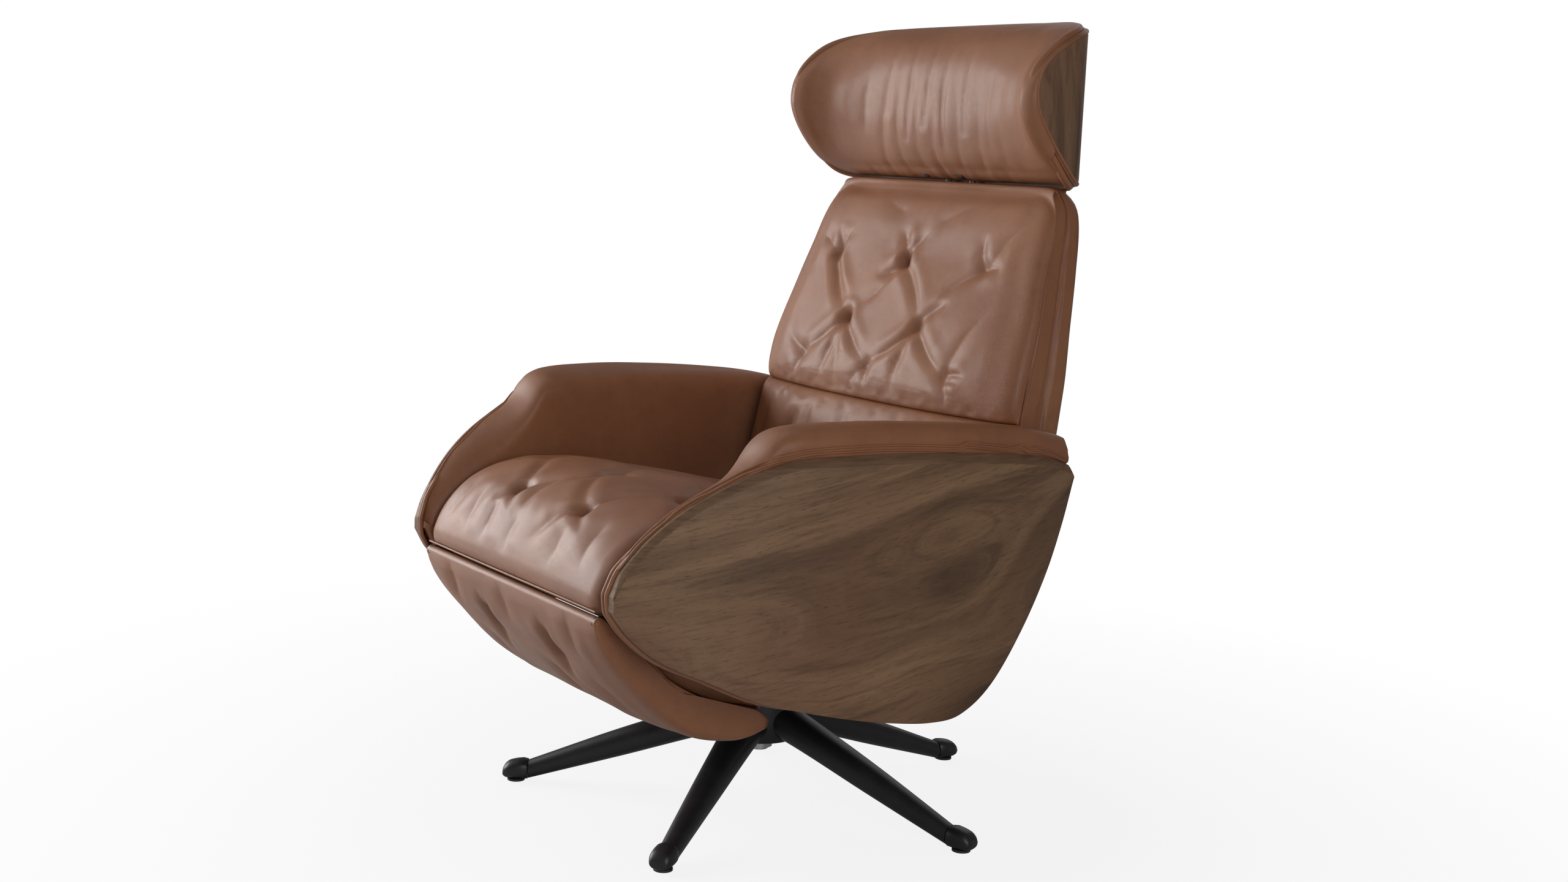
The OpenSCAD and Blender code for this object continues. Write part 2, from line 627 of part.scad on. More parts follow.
module back_lugs() color(metal) both() difference() {
    union() {
        yz_plate(lug_x, lug_x + lug_t, [[pivot_y, pivot_z - pivot_r], [pivot_y + 52, pivot_z + 1],
            [pivot_y + 73, pivot_z + 7], board_low + [15, -6], board_low + [-5, -6],
            [pivot_y, pivot_z + pivot_r]]);
        rod_x(lug_x, lug_x + lug_t, pivot_y, pivot_z, 2 * pivot_r);
        translate([lug_x - 10, board_low[0] - 5, board_low[1] - 6]) cube([lug_t + 20, 20, 6]);
    }
    rod_x(lug_x - eps, lug_x + lug_t + eps, pivot_y, pivot_z, pivot_d + 2 * run_fit);
}

// Half of the back's width at z
function back_half_at(z) = back_half + curve([[400, -1], [600, 0], [650, -1], [720, -10],
    [790, -24], [870, -39], [906, -62], [920, -70]], z);
// Front of the back in the middle, and how much its sides lie behind that
back_front = [[back_low, 118], [440, 119], [500, 130], [back_seam, 148], [640, 166], [700, 190],
    [790, 231], [870, 262], [back_top - 12, 276]];
back_crown = [[back_low, 30], [back_seam, 34], [650, 26], [720, 20], [790, 10], [900, 8]];
back_rows = [[back_seam + 55, 1], [back_seam + 122, 0.5], [back_seam + 206, 1]];

function back_pull(x, z) = max([for (r = back_rows) let (s = round(x / back_tuft - r[1]) + r[1])
    max(dent(norm([x - s * back_tuft, z - r[0]]), 28),
        0.25 * dent(x - s * back_tuft, 14) * dent(max(0, z - r[0] - 20), 40)
            * dent(min(0, z - r[0]), 30))]);

// Front face of the board at z
function board_front(z) = z < board_bend[1]
    ? board_low[0] + (z - board_low[1]) * (board_bend[0] - board_low[0])
        / (board_bend[1] - board_low[1]) - board_t / 2
    : board_bend[0] + (z - board_bend[1]) * up[0] / up[1] - board_t / 2 / up[1];

function side_draw(a) = 14 * (1 - sqrt(1 - max(0, (a - 0.9) / 0.1) ^ 2));

// How far the top edge of the back drops towards its corners
function corner_drop(a) = 6 * a ^ 3 + side_draw(a) * 0.8;

// Section of a back cushion from z0 to z1 at the share u of its width
function back_ring(u, z0, z1, n, tufts, top) = let (a = abs(u), e = side_draw(a),
    drop = top ? corner_drop(a) : 0, high = top ? back_top - 8 - drop : z1,
    rear = board_front(high) - 4 * soft_gap, over = rear + 2.3,
    front = [for (k = [0:n]) let (s = k / n, z = z0 + (z1 - drop - z0) * s,
        lip = 12 * (1 - sqrt(1 - max(0, 1 - 6 * s, top ? 0 : 6 * s - 5) ^ 2)),
        y = curve(back_front, z) + curve(back_crown, z) * a ^ 2.5 + lip + e
            + (tufts ? tuft_depth * (1 - a ^ 8) * back_pull(u * back_half, z) : 0))
        [u * back_half_at(z), min(y, board_front(z) - 8), z]])
    concat(front,
        top ? [for (p = [[0.25, -4.5], [0.62, -1], [1, 0]]) [u * back_half_at(high),
            front[n][1] + (over - front[n][1]) * p[0], back_top + p[1] - drop]] : [],
        [for (k = [5:-1:0]) let (z = z0 + (high - z0) * k / 5)
            [u * back_half_at(z) - sign(u) * 1, board_front(z) - 4 * soft_gap - 0.8 * (1 - a * a), z]]);

module back_cushion() color(leather) loft([for (i = [0:26])
    back_ring(station(i, 26), back_seam + 0.2, back_top - 10, 18, true, true)]);

module lumbar_cushion() color(leather) loft([for (i = [0:18])
    back_ring(station(i, 18), back_low, back_seam - 0.2, 9, false, false)]);

// Rear outline of the back at the sides, and how far its middle stands out behind that
back_rear = [[back_low, 262], [480, 276], [560, 288], [703, 308], [791, 327], [862, 336],
    [back_top - 8, 336]];

function cover_ring(u) = let (a = abs(u), b = 18 * (1 - a ^ 2.2),
    e = 10 * max(0, (a - 0.86) / 0.14) ^ 2)
    concat([for (k = [0:8]) let (z = back_low + (back_top - 8 - back_low) * k / 8)
        [u * back_half_at(z), board_front(z) - soft_gap, z]],
        [[u * back_half_at(back_top), 318, back_top - 3 - 5 * a]],
        [for (k = [11:-1:0]) let (z = back_low + (back_top - 12 - back_low) * k / 11,
            r = k == 0 || k == 11 ? 7 : 0)
            [u * back_half_at(z), curve(back_rear, z) + b - e - r, z]]);

module back_cover() color(leather) difference() {
    loft([for (i = [0:16]) cover_ring(station(i, 16))]);
    board_body(soft_gap);
    translate([-guide_w / 2 - soft_gap, 0, 0])
        yz_box(guide_w + 2 * soft_gap, guide_s - head_travel - 30, 400, 0, guide_t + soft_gap);
    both() translate([lug_x - 10.5, board_low[0] - 20, 300])
        cube([lug_t + 21, 35.5, board_low[1] - 300]);
}

// Headrest and its carriage
guide_w = post_gap + 30;
guide_t = 22;
guide_s = 200;
guide_l = 98;
post_c = board_t / 2 + guide_t / 2;
post_top = board_bend + post_s * up + post_c * out;
tilt = [post_top[0] - 30, head_low + 13];

// Box along the back's slope: w wide, from a to b up the board, from c to d behind it
module yz_box(w, a, b, c, d) {
    r = board_bend + board_t / 2 * out;
    yz_plate(0, w, [r + a * up + c * out, r + b * up + c * out, r + b * up + d * out,
        r + a * up + d * out]);
}

// Rod of diameter d up the back, at x, from a to b
module post(x, a, b, d) {
    p = board_bend + a * up + post_c * out;
    translate([x, p[0], p[1]]) rotate([-back_rake, 0, 0]) cylinder(d = d, h = b - a);
}

module headrest_guides() color(metal) difference() {
    translate([-guide_w / 2, 0, 0]) yz_box(guide_w, guide_s, guide_s + guide_l, 0, guide_t);
    for (s = [-1, 1]) post(s * post_gap / 2, guide_s - 5, guide_s + guide_l + 5, post_d + 2 * run_fit);
}

module headrest_posts() color(steel) {
    for (s = [-1, 1]) {
        post(s * post_gap / 2, guide_s - 10, post_s + 7, post_d);
        yz_plate(s * post_gap / 2 - 4, s * post_gap / 2 + 4, [tilt + [-4, -4], tilt + [-4, 5],
            [post_top[0] + 2, tilt[1] + 7], [post_top[0] + 2, tilt[1] - 5]]);
    }
    rod_x(-post_gap / 2 - 20, post_gap / 2 + 20, tilt[0], tilt[1], 12);
}

mount_x = post_gap / 2 + 8;
head_rear = 355;
shell_in = head_rear - shell_t;

module headrest_mount() color(metal) difference() {
    union() {
        both() {
            yz_plate(mount_x, mount_x + 9, [tilt + [0, -10], tilt + [0, 10],
                [shell_in - 5, tilt[1] + 26], [shell_in - 5, tilt[1] + 10]]);
            rod_x(mount_x, mount_x + 9, tilt[0], tilt[1], 20);
        }
        translate([-mount_x - 9, shell_in - 5.3, tilt[1] + 9]) cube([2 * mount_x + 18, 5, 60]);
    }
    rod_x(-mount_x - 20, mount_x + 20, tilt[0], tilt[1], 12 + 2 * run_fit);
}

// Plan of the headrest's shell, right half: straight middle, round corner, wing
corner_r = 92;
wing_x = head_half - shell_t;
flat_x = wing_x - corner_r;
arc_l = corner_r * PI / 2;
wing_l = 50;
head_l = flat_x + arc_l + wing_l;
wing_in = 0.03;

// Point on the shell's inner face at the length s from the middle, with its outward direction
function plan(s) = let (a = abs(s), g = sign(s))
    a < flat_x ? [[s, shell_in], [0, 1]]
    : a < flat_x + arc_l ? let (t = (a - flat_x) / arc_l * 90)
        [[g * (flat_x + corner_r * sin(t)), shell_in - corner_r * (1 - cos(t))], [g * sin(t), cos(t)]]
    : [[g * (wing_x - wing_in * (a - flat_x - arc_l)), shell_in - corner_r - (a - flat_x - arc_l)],
        [g, 0]];

// The edges below are drawn on a headrest 230.5 high and follow its height
head_k = (head_top - head_low) / 230.5;
// Upper and lower edge of the leather at y, then of the shell
head_hi = [[199, head_top - 104 * head_k], [201, head_top - 90 * head_k],
    [206, head_top - 78 * head_k], [214, head_top - 65 * head_k], [226, head_top - 51 * head_k],
    [245, head_top - 36 * head_k], [268, head_top - 23 * head_k], [292, head_top - 14 * head_k],
    [316, head_top - 9 * head_k], [343, head_top - 2 * head_k], [head_rear, head_top]];
head_lo = [[199, head_low + 122 * head_k], [201, head_low + 108 * head_k],
    [206, head_low + 95 * head_k], [214, head_low + 79 * head_k], [226, head_low + 61 * head_k],
    [240, head_low + 44 * head_k], [258, head_low + 27 * head_k], [280, head_low + 12 * head_k],
    [300, head_low + 3 * head_k], [318, head_low], [head_rear, head_low]];
shell_hi = [[225, head_top - 98 * head_k], [228, head_top - 83 * head_k],
    [236, head_top - 69 * head_k], [252, head_top - 52 * head_k], [275, head_top - 35 * head_k],
    [300, head_top - 23 * head_k], [330, head_top - 13 * head_k], [345, head_top - 8 * head_k],
    [head_rear, head_top - 7 * head_k]];
shell_lo = [[225, head_low + 126 * head_k], [228, head_low + 106 * head_k],
    [236, head_low + 91 * head_k], [252, head_low + 66 * head_k], [275, head_low + 35 * head_k],
    [300, head_low + 12 * head_k], [330, head_low + 3 * head_k],
    [head_rear, head_low + 2 * head_k]];

// Front of the leather in plan: it bends forwards gently from the middle to the wings
head_in_x = [[0, 0], [100, 98], [flat_x, 172], [258, 211], [330, 244], [360, 250], [372, 257],
    [head_l, 266]];
head_in_y = [[0, 259], [100, 258], [flat_x, 251], [258, 240], [330, 223], [360, 208], [372, 203],
    [head_l, 202]];

// Section of the headrest's cushion at the length s
function head_ring(s) = let (a = abs(s), p = plan(s)[0],
    q = [sign(s) * curve(head_in_x, a), curve(head_in_y, a)], t = norm(q - p), n = (q - p) / t,
    hi = curve(head_hi, p[1]), lo = curve(head_lo, p[1]), w = 1.6 * sin(s * 4.4) * max(0, 1 - a / 180))
    [for (c = [[0.3, 0.02], [0.3, 0.25], [0.3, 0.5], [0.3, 0.75], [0.3, 0.98], [min(10, t * 0.3), 1],
        [t * 0.4, 1.006], [t * 0.7, 0.99], [t * 0.9, 0.94], [t + w, 0.8], [t * 1.02 + w, 0.6],
        [t * 1.02 + w, 0.42], [t + w, 0.22], [t * 0.88, 0.07], [t * 0.66, 0.01], [t * 0.36, 0],
        [min(10, t * 0.3), 0]])
        [p[0] + n[0] * c[0], p[1] + n[1] * c[0], lo + (hi - lo) * c[1]]];

// Stations run close together towards the wings' ends
head_steps = [for (i = [-17:17]) let (t = i / 17) t * head_l * (1 + 0.22 * (1 - t * t))];

module headrest_cushion() color(leather) difference() {
    loft([for (s = head_steps) head_ring(-s)]);
    translate([-mount_x - 12, tilt[0] - 13, head_low - 10])
        cube([2 * mount_x + 24, shell_in - tilt[0] + 26, 52]);
    translate([-mount_x - 10, shell_in - 8, head_low]) cube([2 * mount_x + 20, 20, 90]);
}

// Section of the shell at the length s
function shell_ring(s) = let (q = plan(s), p = q[0], n = q[1], y = p[1],
    hi = curve(shell_hi, y), lo = curve(shell_lo, y), o = shell_t)
    [[p[0], p[1], lo], [p[0] + n[0] * (o - 3), p[1] + n[1] * (o - 3), lo],
     [p[0] + n[0] * o, p[1] + n[1] * o, lo + 4], [p[0] + n[0] * o, p[1] + n[1] * o, hi - 4],
     [p[0] + n[0] * (o - 3), p[1] + n[1] * (o - 3), hi], [p[0], p[1], hi]];

shell_l = head_l - 24;
shell_steps = concat([-shell_l], [for (t = head_steps) if (abs(t) < shell_l - 2) t], [shell_l]);

module headrest_shell() color(walnut) loft([for (s = shell_steps) shell_ring(-s)]);

star_base();
foot_caps();
foot_glides();
column_tube();
thrust_bearing();
column_shroud();
swivel_spindle();
spindle_clip();
swivel_plate();
side_plates();
cross_tubes();
panel_flanges();
panel_screws();
left_side_panel();
right_side_panel();
left_arm_pad();
right_arm_pad();
slide_rails();
rear_apron();
gas_spring_cylinder();
slide_runners();
seat_deck();
gas_spring_rod();
leg_rest_hinge_plates();
leg_rest_pins();
back_brackets();
back_pins();
seat_cushion();
leg_rest_board();
leg_rest_cushion();
back_board();
back_lugs();
back_cushion();
lumbar_cushion();
back_cover();
headrest_guides();
headrest_posts();
headrest_mount();
headrest_shell();
headrest_cushion();
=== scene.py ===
import json
import math

import bmesh
import bpy
import numpy as np
from mathutils import Matrix, Vector
from mathutils.kdtree import KDTree


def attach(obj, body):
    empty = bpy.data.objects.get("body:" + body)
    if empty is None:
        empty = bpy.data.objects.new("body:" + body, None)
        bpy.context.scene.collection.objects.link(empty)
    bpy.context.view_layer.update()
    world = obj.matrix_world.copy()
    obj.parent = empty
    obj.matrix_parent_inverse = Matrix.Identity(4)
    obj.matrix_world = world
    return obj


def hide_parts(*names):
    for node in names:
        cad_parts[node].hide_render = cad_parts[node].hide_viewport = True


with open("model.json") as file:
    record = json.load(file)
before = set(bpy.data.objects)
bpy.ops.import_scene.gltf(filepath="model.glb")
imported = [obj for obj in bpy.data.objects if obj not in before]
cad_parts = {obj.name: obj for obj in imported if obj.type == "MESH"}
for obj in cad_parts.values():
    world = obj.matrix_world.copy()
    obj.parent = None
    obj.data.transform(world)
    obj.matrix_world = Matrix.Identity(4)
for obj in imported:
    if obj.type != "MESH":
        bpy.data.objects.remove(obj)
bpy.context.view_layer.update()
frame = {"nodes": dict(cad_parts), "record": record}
nodes = frame["nodes"]
print("frame loaded:", len(nodes), "CAD nodes")


# A socket that takes part in sums, and the node graph of one material
class Value:
    def __init__(self, graph, socket):
        self.graph, self.socket = graph, socket

    def math(self, operation, *others):
        return self.graph.node("ShaderNodeMath", {"operation": operation}, self, *others)

    def __add__(self, other): return self.math("ADD", other)
    def __sub__(self, other): return self.math("SUBTRACT", other)
    def __mul__(self, other): return self.math("MULTIPLY", other)
    def __truediv__(self, other): return self.math("DIVIDE", other)
    def __pow__(self, other): return self.math("POWER", other)
    def __radd__(self, other): return self + other
    def __rmul__(self, other): return self * other
    def __rsub__(self, other):
        return self.graph.node("ShaderNodeMath", {"operation": "SUBTRACT"}, other, self)

    def smallest(self, other): return self.math("MINIMUM", other)
    def size(self): return self.math("ABSOLUTE")


class Graph:
    def __init__(self, name, base=(0.5, 0.5, 0.5), **shine):
        self.material = bpy.data.materials.new(name)
        self.material.use_nodes = True
        self.tree = self.material.node_tree
        self.surface = self.tree.nodes["Principled BSDF"]
        self.surface.inputs["Base Color"].default_value = (*base, 1)
        self.material.diffuse_color = (*base, 1)
        for key, value in shine.items():
            self.surface.inputs[key.replace("_", " ")].default_value = value

    def node(self, kind, settings, *inputs, out=0, **named):
        made = self.tree.nodes.new(kind)
        for key, value in settings.items():
            if key == "stops":
                ramp = made.color_ramp
                while len(ramp.elements) < len(value):
                    ramp.elements.new(0.5)
                for stop, (place, colour) in zip(ramp.elements, value):
                    stop.position, stop.color = place, (*colour, 1)
            else:
                setattr(made, key, value)
        for place, given in [*enumerate(inputs), *((k.replace("_", " "), v) for k, v in named.items())]:
            socket = made.inputs[place]
            if isinstance(given, Value):
                self.tree.links.new(given.socket, socket)
            elif given is not None:
                socket.default_value = given
        return Value(self, made.outputs[out])

    def coords(self, scale=(1, 1, 1), turn=(0, 0, 0), shift=(0, 0, 0)):
        where = self.node("ShaderNodeTexCoord", {}, out="Object")
        return self.node("ShaderNodeMapping", {}, where, Location=shift, Rotation=turn, Scale=scale)

    def scaled(self, where, scale):
        return self.node("ShaderNodeMapping", {}, where, Scale=scale)

    def noise(self, where, scale, detail=4.0, rough=0.5, warp=0.0, out="Fac"):
        return self.node("ShaderNodeTexNoise", {}, Vector=where, Scale=scale, Detail=detail,
                         Roughness=rough, Distortion=warp, out=out)

    def ramp(self, value, *stops):
        return self.node("ShaderNodeValToRGB", {"stops": stops}, value)

    def fade(self, value, low, high):
        return self.node("ShaderNodeMapRange", {"clamp": True}, value, low, high, 0.0, 1.0)

    def mix(self, share, first, second):
        made = self.tree.nodes.new("ShaderNodeMix")
        made.data_type = "RGBA"
        for socket, given in zip((made.inputs[0], made.inputs[6], made.inputs[7]), (share, first, second)):
            if isinstance(given, Value):
                self.tree.links.new(given.socket, socket)
            else:
                socket.default_value = given if isinstance(given, float) else (*given, 1)
        return Value(self, made.outputs[2])

    def feed(self, name, value):
        self.tree.links.new(value.socket, self.surface.inputs[name])

    def bump(self, height, depth, strength=1.0):
        bump = self.node("ShaderNodeBump", {}, Strength=strength, Distance=depth, Height=height)
        self.tree.links.new(bump.socket, self.surface.inputs["Normal"])


leatherLook = {
    "light": (0.285, 0.112, 0.046), "mid": (0.235, 0.084, 0.032), "dark": (0.130, 0.042, 0.015),
    "roughness": 0.4, "grain": 900, "patches": 7}


def makeLeather(name, look):
    g = Graph(name, look["mid"], Roughness=look["roughness"], Coat_Weight=0.1, Coat_Roughness=0.3)
    g.surface.inputs["IOR"].default_value = 1.5
    at = g.coords()
    patches = g.noise(at, look["patches"], 5, 0.55)
    mottle = g.noise(at, 42, 4, 0.6)
    pores = g.node("ShaderNodeTexVoronoi", {"feature": "DISTANCE_TO_EDGE"}, Vector=at, Scale=look["grain"])
    cells = g.fade(pores, 0.0, 0.16)
    colour = g.mix(g.fade(patches, 0.36, 0.66), look["mid"], look["light"])
    colour = g.mix(g.fade(mottle, 0.52, 0.78) * 0.3, colour, look["dark"])
    colour = g.mix((1 - cells) * 0.22, colour, look["dark"])
    g.feed("Base Color", colour)
    g.feed("Roughness", look["roughness"] + (patches - 0.5) * 0.16 + (1 - cells) * 0.12)
    g.bump(cells * 0.6 + mottle * 0.5 + g.noise(at, 260, 3, 0.6) * 0.6, 0.00035, 0.7)
    return g.material


walnutLook = {
    "pale": (0.225, 0.128, 0.068), "mid": (0.128, 0.068, 0.036), "dark": (0.05, 0.0255, 0.0145),
    "red": (0.165, 0.074, 0.04), "roughness": 0.5, "slant": 0.2}


def makeWalnut(name, look, along="y"):
    g = Graph(name, look["mid"], Roughness=look["roughness"])
    g.surface.inputs["IOR"].default_value = 1.36
    if along == "y":      # grain runs backwards and slants up a little
        at = g.coords((1, 1, 1), (-look["slant"], 0, 0))
        stretch = (0.5, 0.5, 6.0)
    else:      # grain runs upwards, as on the headrest's shell
        at = g.coords()
        stretch = (6.0, 6.0, 0.5)
    wide = g.scaled(at, stretch)
    sway = g.noise(g.scaled(at, tuple(0.6 + 0.25 * s for s in stretch)), 1.6, 2, 0.4)
    shift = (sway - 0.5) * 4.2      # the layers of the wood swing up and down and form tongues
    shift = g.node("ShaderNodeCombineXYZ", {}, *((0.0, 0.0, shift) if along == "y" else (shift, shift, 0.0)))
    figure = g.node("ShaderNodeVectorMath", {"operation": "ADD"}, wide, shift)
    rings = g.noise(figure, 1.15, 3, 0.5)
    streaks = g.noise(figure, 3.4, 6, 0.62)
    thin = g.noise(figure, 11, 5, 0.6)
    fine = g.noise(g.scaled(at, tuple(14 * s for s in stretch)), 2.6, 5, 0.65)
    pores = g.noise(g.scaled(at, tuple(s * 55 for s in stretch)), 2.4, 3, 0.7)
    colour = g.ramp(rings, (0.34, look["dark"]), (0.44, look["mid"]), (0.53, look["pale"]),
                    (0.64, look["mid"]))
    colour = g.mix(g.fade(streaks, 0.5, 0.68) * 0.75, colour, look["dark"])
    colour = g.mix(g.fade(g.noise(at, 2.6, 2), 0.44, 0.66) * 0.5, colour, look["red"])
    colour = g.mix(g.fade(thin, 0.54, 0.7) * 0.45, colour, look["dark"])
    colour = g.mix(g.fade(fine, 0.5, 0.72) * 0.4, colour, look["dark"])
    colour = g.mix(g.fade(pores, 0.58, 0.7) * 0.55, colour, (0.022, 0.012, 0.008))
    g.feed("Base Color", colour)
    g.feed("Roughness", look["roughness"] + fine * 0.12)
    g.bump(1 - g.fade(pores, 0.58, 0.72), 0.00025, 0.6)
    return g.material


def makeEdgeWood(name):      # the slanting band that shows the plies
    g = Graph(name, (0.18, 0.11, 0.07), Roughness=0.6)
    g.surface.inputs["IOR"].default_value = 1.3
    at = g.coords((1, 0.6, 9))
    grain = g.noise(at, 26, 5, 0.6)
    g.feed("Base Color", g.mix(g.fade(grain, 0.35, 0.7), (0.17, 0.098, 0.055), (0.1, 0.054, 0.031)))
    g.bump(grain, 0.0002, 0.5)
    return g.material


def makeMetal(name, colour, roughness, metallic=1.0, speck=0.0):
    g = Graph(name, colour, Roughness=roughness, Metallic=metallic)
    at = g.coords()
    wear = g.noise(at, 34, 5, 0.6)
    dust = g.noise(at, 900, 2, 0.5)
    paler = tuple(min(1, c * 1.5 + 0.006) for c in colour)
    g.feed("Base Color", g.mix(g.fade(wear, 0.45, 0.75) * 0.4, colour, paler))
    g.feed("Roughness", roughness + (wear - 0.5) * 0.14)
    g.bump(dust, 0.00012 + speck, 0.6)
    return g.material


def makeBoard(name, pale, dark):
    g = Graph(name, pale, Roughness=0.6)
    at = g.coords((9, 0.8, 40))
    grain = g.noise(at, 5, 5, 0.6, 0.3)
    g.feed("Base Color", g.mix(g.fade(grain, 0.35, 0.7), pale, dark))
    g.bump(grain, 0.0003, 0.5)
    return g.material


leather = makeLeather("cognacLeather", leatherLook)
walnut = makeWalnut("walnutVeneer", walnutLook)
walnutUp = makeWalnut("walnutShell", {**walnutLook, "mid": (0.17, 0.098, 0.056)}, "z")
edgeWood = makeEdgeWood("walnutEdge")
blackMetal = makeMetal("satinBlack", (0.011, 0.011, 0.013), 0.42, 0.0, 0.0001)
steelMetal = makeMetal("turnedSteel", (0.55, 0.55, 0.57), 0.3)
plywood = makeBoard("birchPly", (0.5, 0.36, 0.22), (0.34, 0.22, 0.12))
blackBoard = makeBoard("blackBoard", (0.03, 0.026, 0.023), (0.012, 0.011, 0.01))
plastic = makeMetal("glidePlastic", (0.03, 0.03, 0.033), 0.55, 0.0)
print("materials made")

slotLooks = {"leather": leather, "walnut": walnut, "plywood": plywood, "black_board": blackBoard,
             "black_metal": blackMetal, "steel": steelMetal, "glide_plastic": plastic}
for part in frame["record"]["subparts"]:
    for cadSlot in nodes[part["node"]].material_slots:
        cadSlot.material = slotLooks[part["material_slot"]]


# Shapes are in millimetres until a mesh is made
def curve(points, at):      # smooth curve through (place, value) points
    n = len(points)
    i = 0
    while i < n - 2 and at > points[i + 1][0]:
        i += 1

    def slope(k):
        a, b = max(k - 1, 0), min(k + 1, n - 1)
        return (points[b][1] - points[a][1]) / (points[b][0] - points[a][0])

    step = points[i + 1][0] - points[i][0]
    s = min(1, max(0, (at - points[i][0]) / step))
    return (points[i][1] * (2 * s**3 - 3 * s**2 + 1) + step * slope(i) * (s**3 - 2 * s**2 + s)
            + points[i + 1][1] * (3 * s**2 - 2 * s**3) + step * slope(i + 1) * (s**3 - s**2))


def smoothStep(value, low, high):
    t = np.clip((value - low) / (high - low), 0, 1)
    return t * t * (3 - 2 * t)


def roundOff(share, start):      # 0 up to start, then a quarter circle down to 1
    return 1 - math.sqrt(max(0, 1 - max(0, (share - start) / (1 - start)) ** 2))


def curves(points, places):
    return np.array([curve(points, at) for at in places])


def lengthsAlong(points):      # distance of each point from the line's start
    return np.concatenate([[0], np.cumsum(np.linalg.norm(np.diff(points, axis=0), axis=1))])


def beside(line):      # directions square to a flat line
    along = np.gradient(line, axis=0)
    along /= np.linalg.norm(along, axis=1)[:, None]
    return np.stack([along[:, 1], -along[:, 0]], 1)


def resample(points, count):      # even steps along an open line
    points = np.array(points, float)
    run = lengthsAlong(points)
    at = np.linspace(0, run[-1], count)
    return np.stack([np.interp(at, run, points[:, k]) for k in range(points.shape[1])], 1)


def soften(points, passes):
    points = np.array(points, float)
    for _ in range(passes):
        points[1:-1] = 0.25 * points[:-2] + 0.5 * points[1:-1] + 0.25 * points[2:]
    return points


def makeObject(name, verts, faces, material):
    mesh = bpy.data.meshes.new(name)
    mesh.from_pydata([tuple(v) for v in np.asarray(verts) * 0.001], [], faces)
    mesh.update()
    piece = bpy.data.objects.new(name, mesh)
    bpy.context.scene.collection.objects.link(piece)
    mesh.materials.append(material)
    tidyMesh(piece)
    mesh.shade_smooth()
    return piece


def tidyMesh(piece):
    bm = bmesh.new()
    bm.from_mesh(piece.data)
    bmesh.ops.remove_doubles(bm, verts=bm.verts, dist=1e-5)
    bmesh.ops.recalc_face_normals(bm, faces=bm.faces)
    if bm.calc_volume(signed=True) < 0:
        bmesh.ops.reverse_faces(bm, faces=bm.faces)
    bm.to_mesh(piece.data)
    bm.free()


def loft(name, rings, material):      # closed solid through closed rings
    rings = np.array(rings, float)
    n, m, _ = rings.shape
    verts = np.concatenate([rings.reshape(-1, 3), rings[0].mean(0)[None], rings[-1].mean(0)[None]])
    faces = [(i * m + j, i * m + (j + 1) % m, (i + 1) * m + (j + 1) % m, (i + 1) * m + j)
             for i in range(n - 1) for j in range(m)]
    faces += [(n * m, (j + 1) % m, j) for j in range(m)]
    faces += [(n * m + 1, (n - 1) * m + j, (n - 1) * m + (j + 1) % m) for j in range(m)]
    return makeObject(name, verts, faces, material)


def readVectors(piece, name):
    flat = np.empty(len(piece.data.vertices) * 3)
    piece.data.vertices.foreach_get(name, flat)
    return flat.reshape(-1, 3)


def readPoints(piece):
    return readVectors(piece, "co") * 1000


def readSurface(piece):
    return readPoints(piece), readVectors(piece, "normal")


def writePoints(piece, points):
    piece.data.vertices.foreach_set("co", (points * 0.001).ravel())
    piece.data.update()


# Padding: a coarse copy is blown up as cloth, and the piece takes its bulges
clothLook = {"pressure": 4.0, "frames": 20, "cap": 22.0}


def swell(piece, most, weight, voxel=0.009):
    scene = bpy.context.scene
    copy = bpy.data.objects.new(piece.name + "Blown", piece.data.copy())
    scene.collection.objects.link(copy)
    remesh = copy.modifiers.new("remesh", "REMESH")
    remesh.mode, remesh.voxel_size = "VOXEL", voxel
    flat = bpy.data.meshes.new_from_object(copy.evaluated_get(bpy.context.evaluated_depsgraph_get()))
    copy.modifiers.clear()
    copy.data = flat
    before = readPoints(copy)
    cloth = copy.modifiers.new("cloth", "CLOTH")
    cloth.settings.use_pressure = True
    cloth.settings.uniform_pressure_force = clothLook["pressure"]
    cloth.settings.effector_weights.gravity = 0
    cloth.settings.quality = 4
    cloth.point_cache.frame_start, cloth.point_cache.frame_end = 1, clothLook["frames"]
    for number in range(1, clothLook["frames"] + 1):
        scene.frame_set(number)
    after = bpy.data.meshes.new_from_object(copy.evaluated_get(bpy.context.evaluated_depsgraph_get()))
    copy.modifiers.clear()
    copy.data = after
    push = readPoints(copy) - before
    size = np.linalg.norm(push, axis=1)
    push *= np.minimum(1, clothLook["cap"] / np.maximum(size, 1e-6))[:, None]
    tree = KDTree(len(before))
    for k, point in enumerate(before):
        tree.insert(point, k)
    tree.balance()
    points, normals = readSurface(piece)
    moved = np.empty(len(points))
    for k, point in enumerate(points):
        near = tree.find_n(point, 4)
        share = [1 / (d + 0.5) for _, _, d in near]
        moved[k] = sum(s * push[i].dot(normals[k]) for s, (_, i, _) in zip(share, near)) / sum(share)
    high = np.percentile(np.abs(moved), 99)
    moved = np.clip(moved / max(high, 1e-6), -0.4, 1) * most
    writePoints(piece, points + normals * (moved * weight(points))[:, None])
    bpy.data.objects.remove(copy)
    scene.frame_set(1)
    print("padded:", piece.name, "bulge before scaling %.1f mm" % high)


def tuftDent(x, y, tufts, wide, deep, narrow=12.0):
    total = np.zeros_like(x)
    for tx, ty in tufts:
        away = np.hypot(x - tx, (y - ty) * 1.15)
        total = np.maximum(total, deep * (0.7 * np.exp(-(away / wide) ** 2) + 0.3 * np.exp(-away / narrow)))
    return total


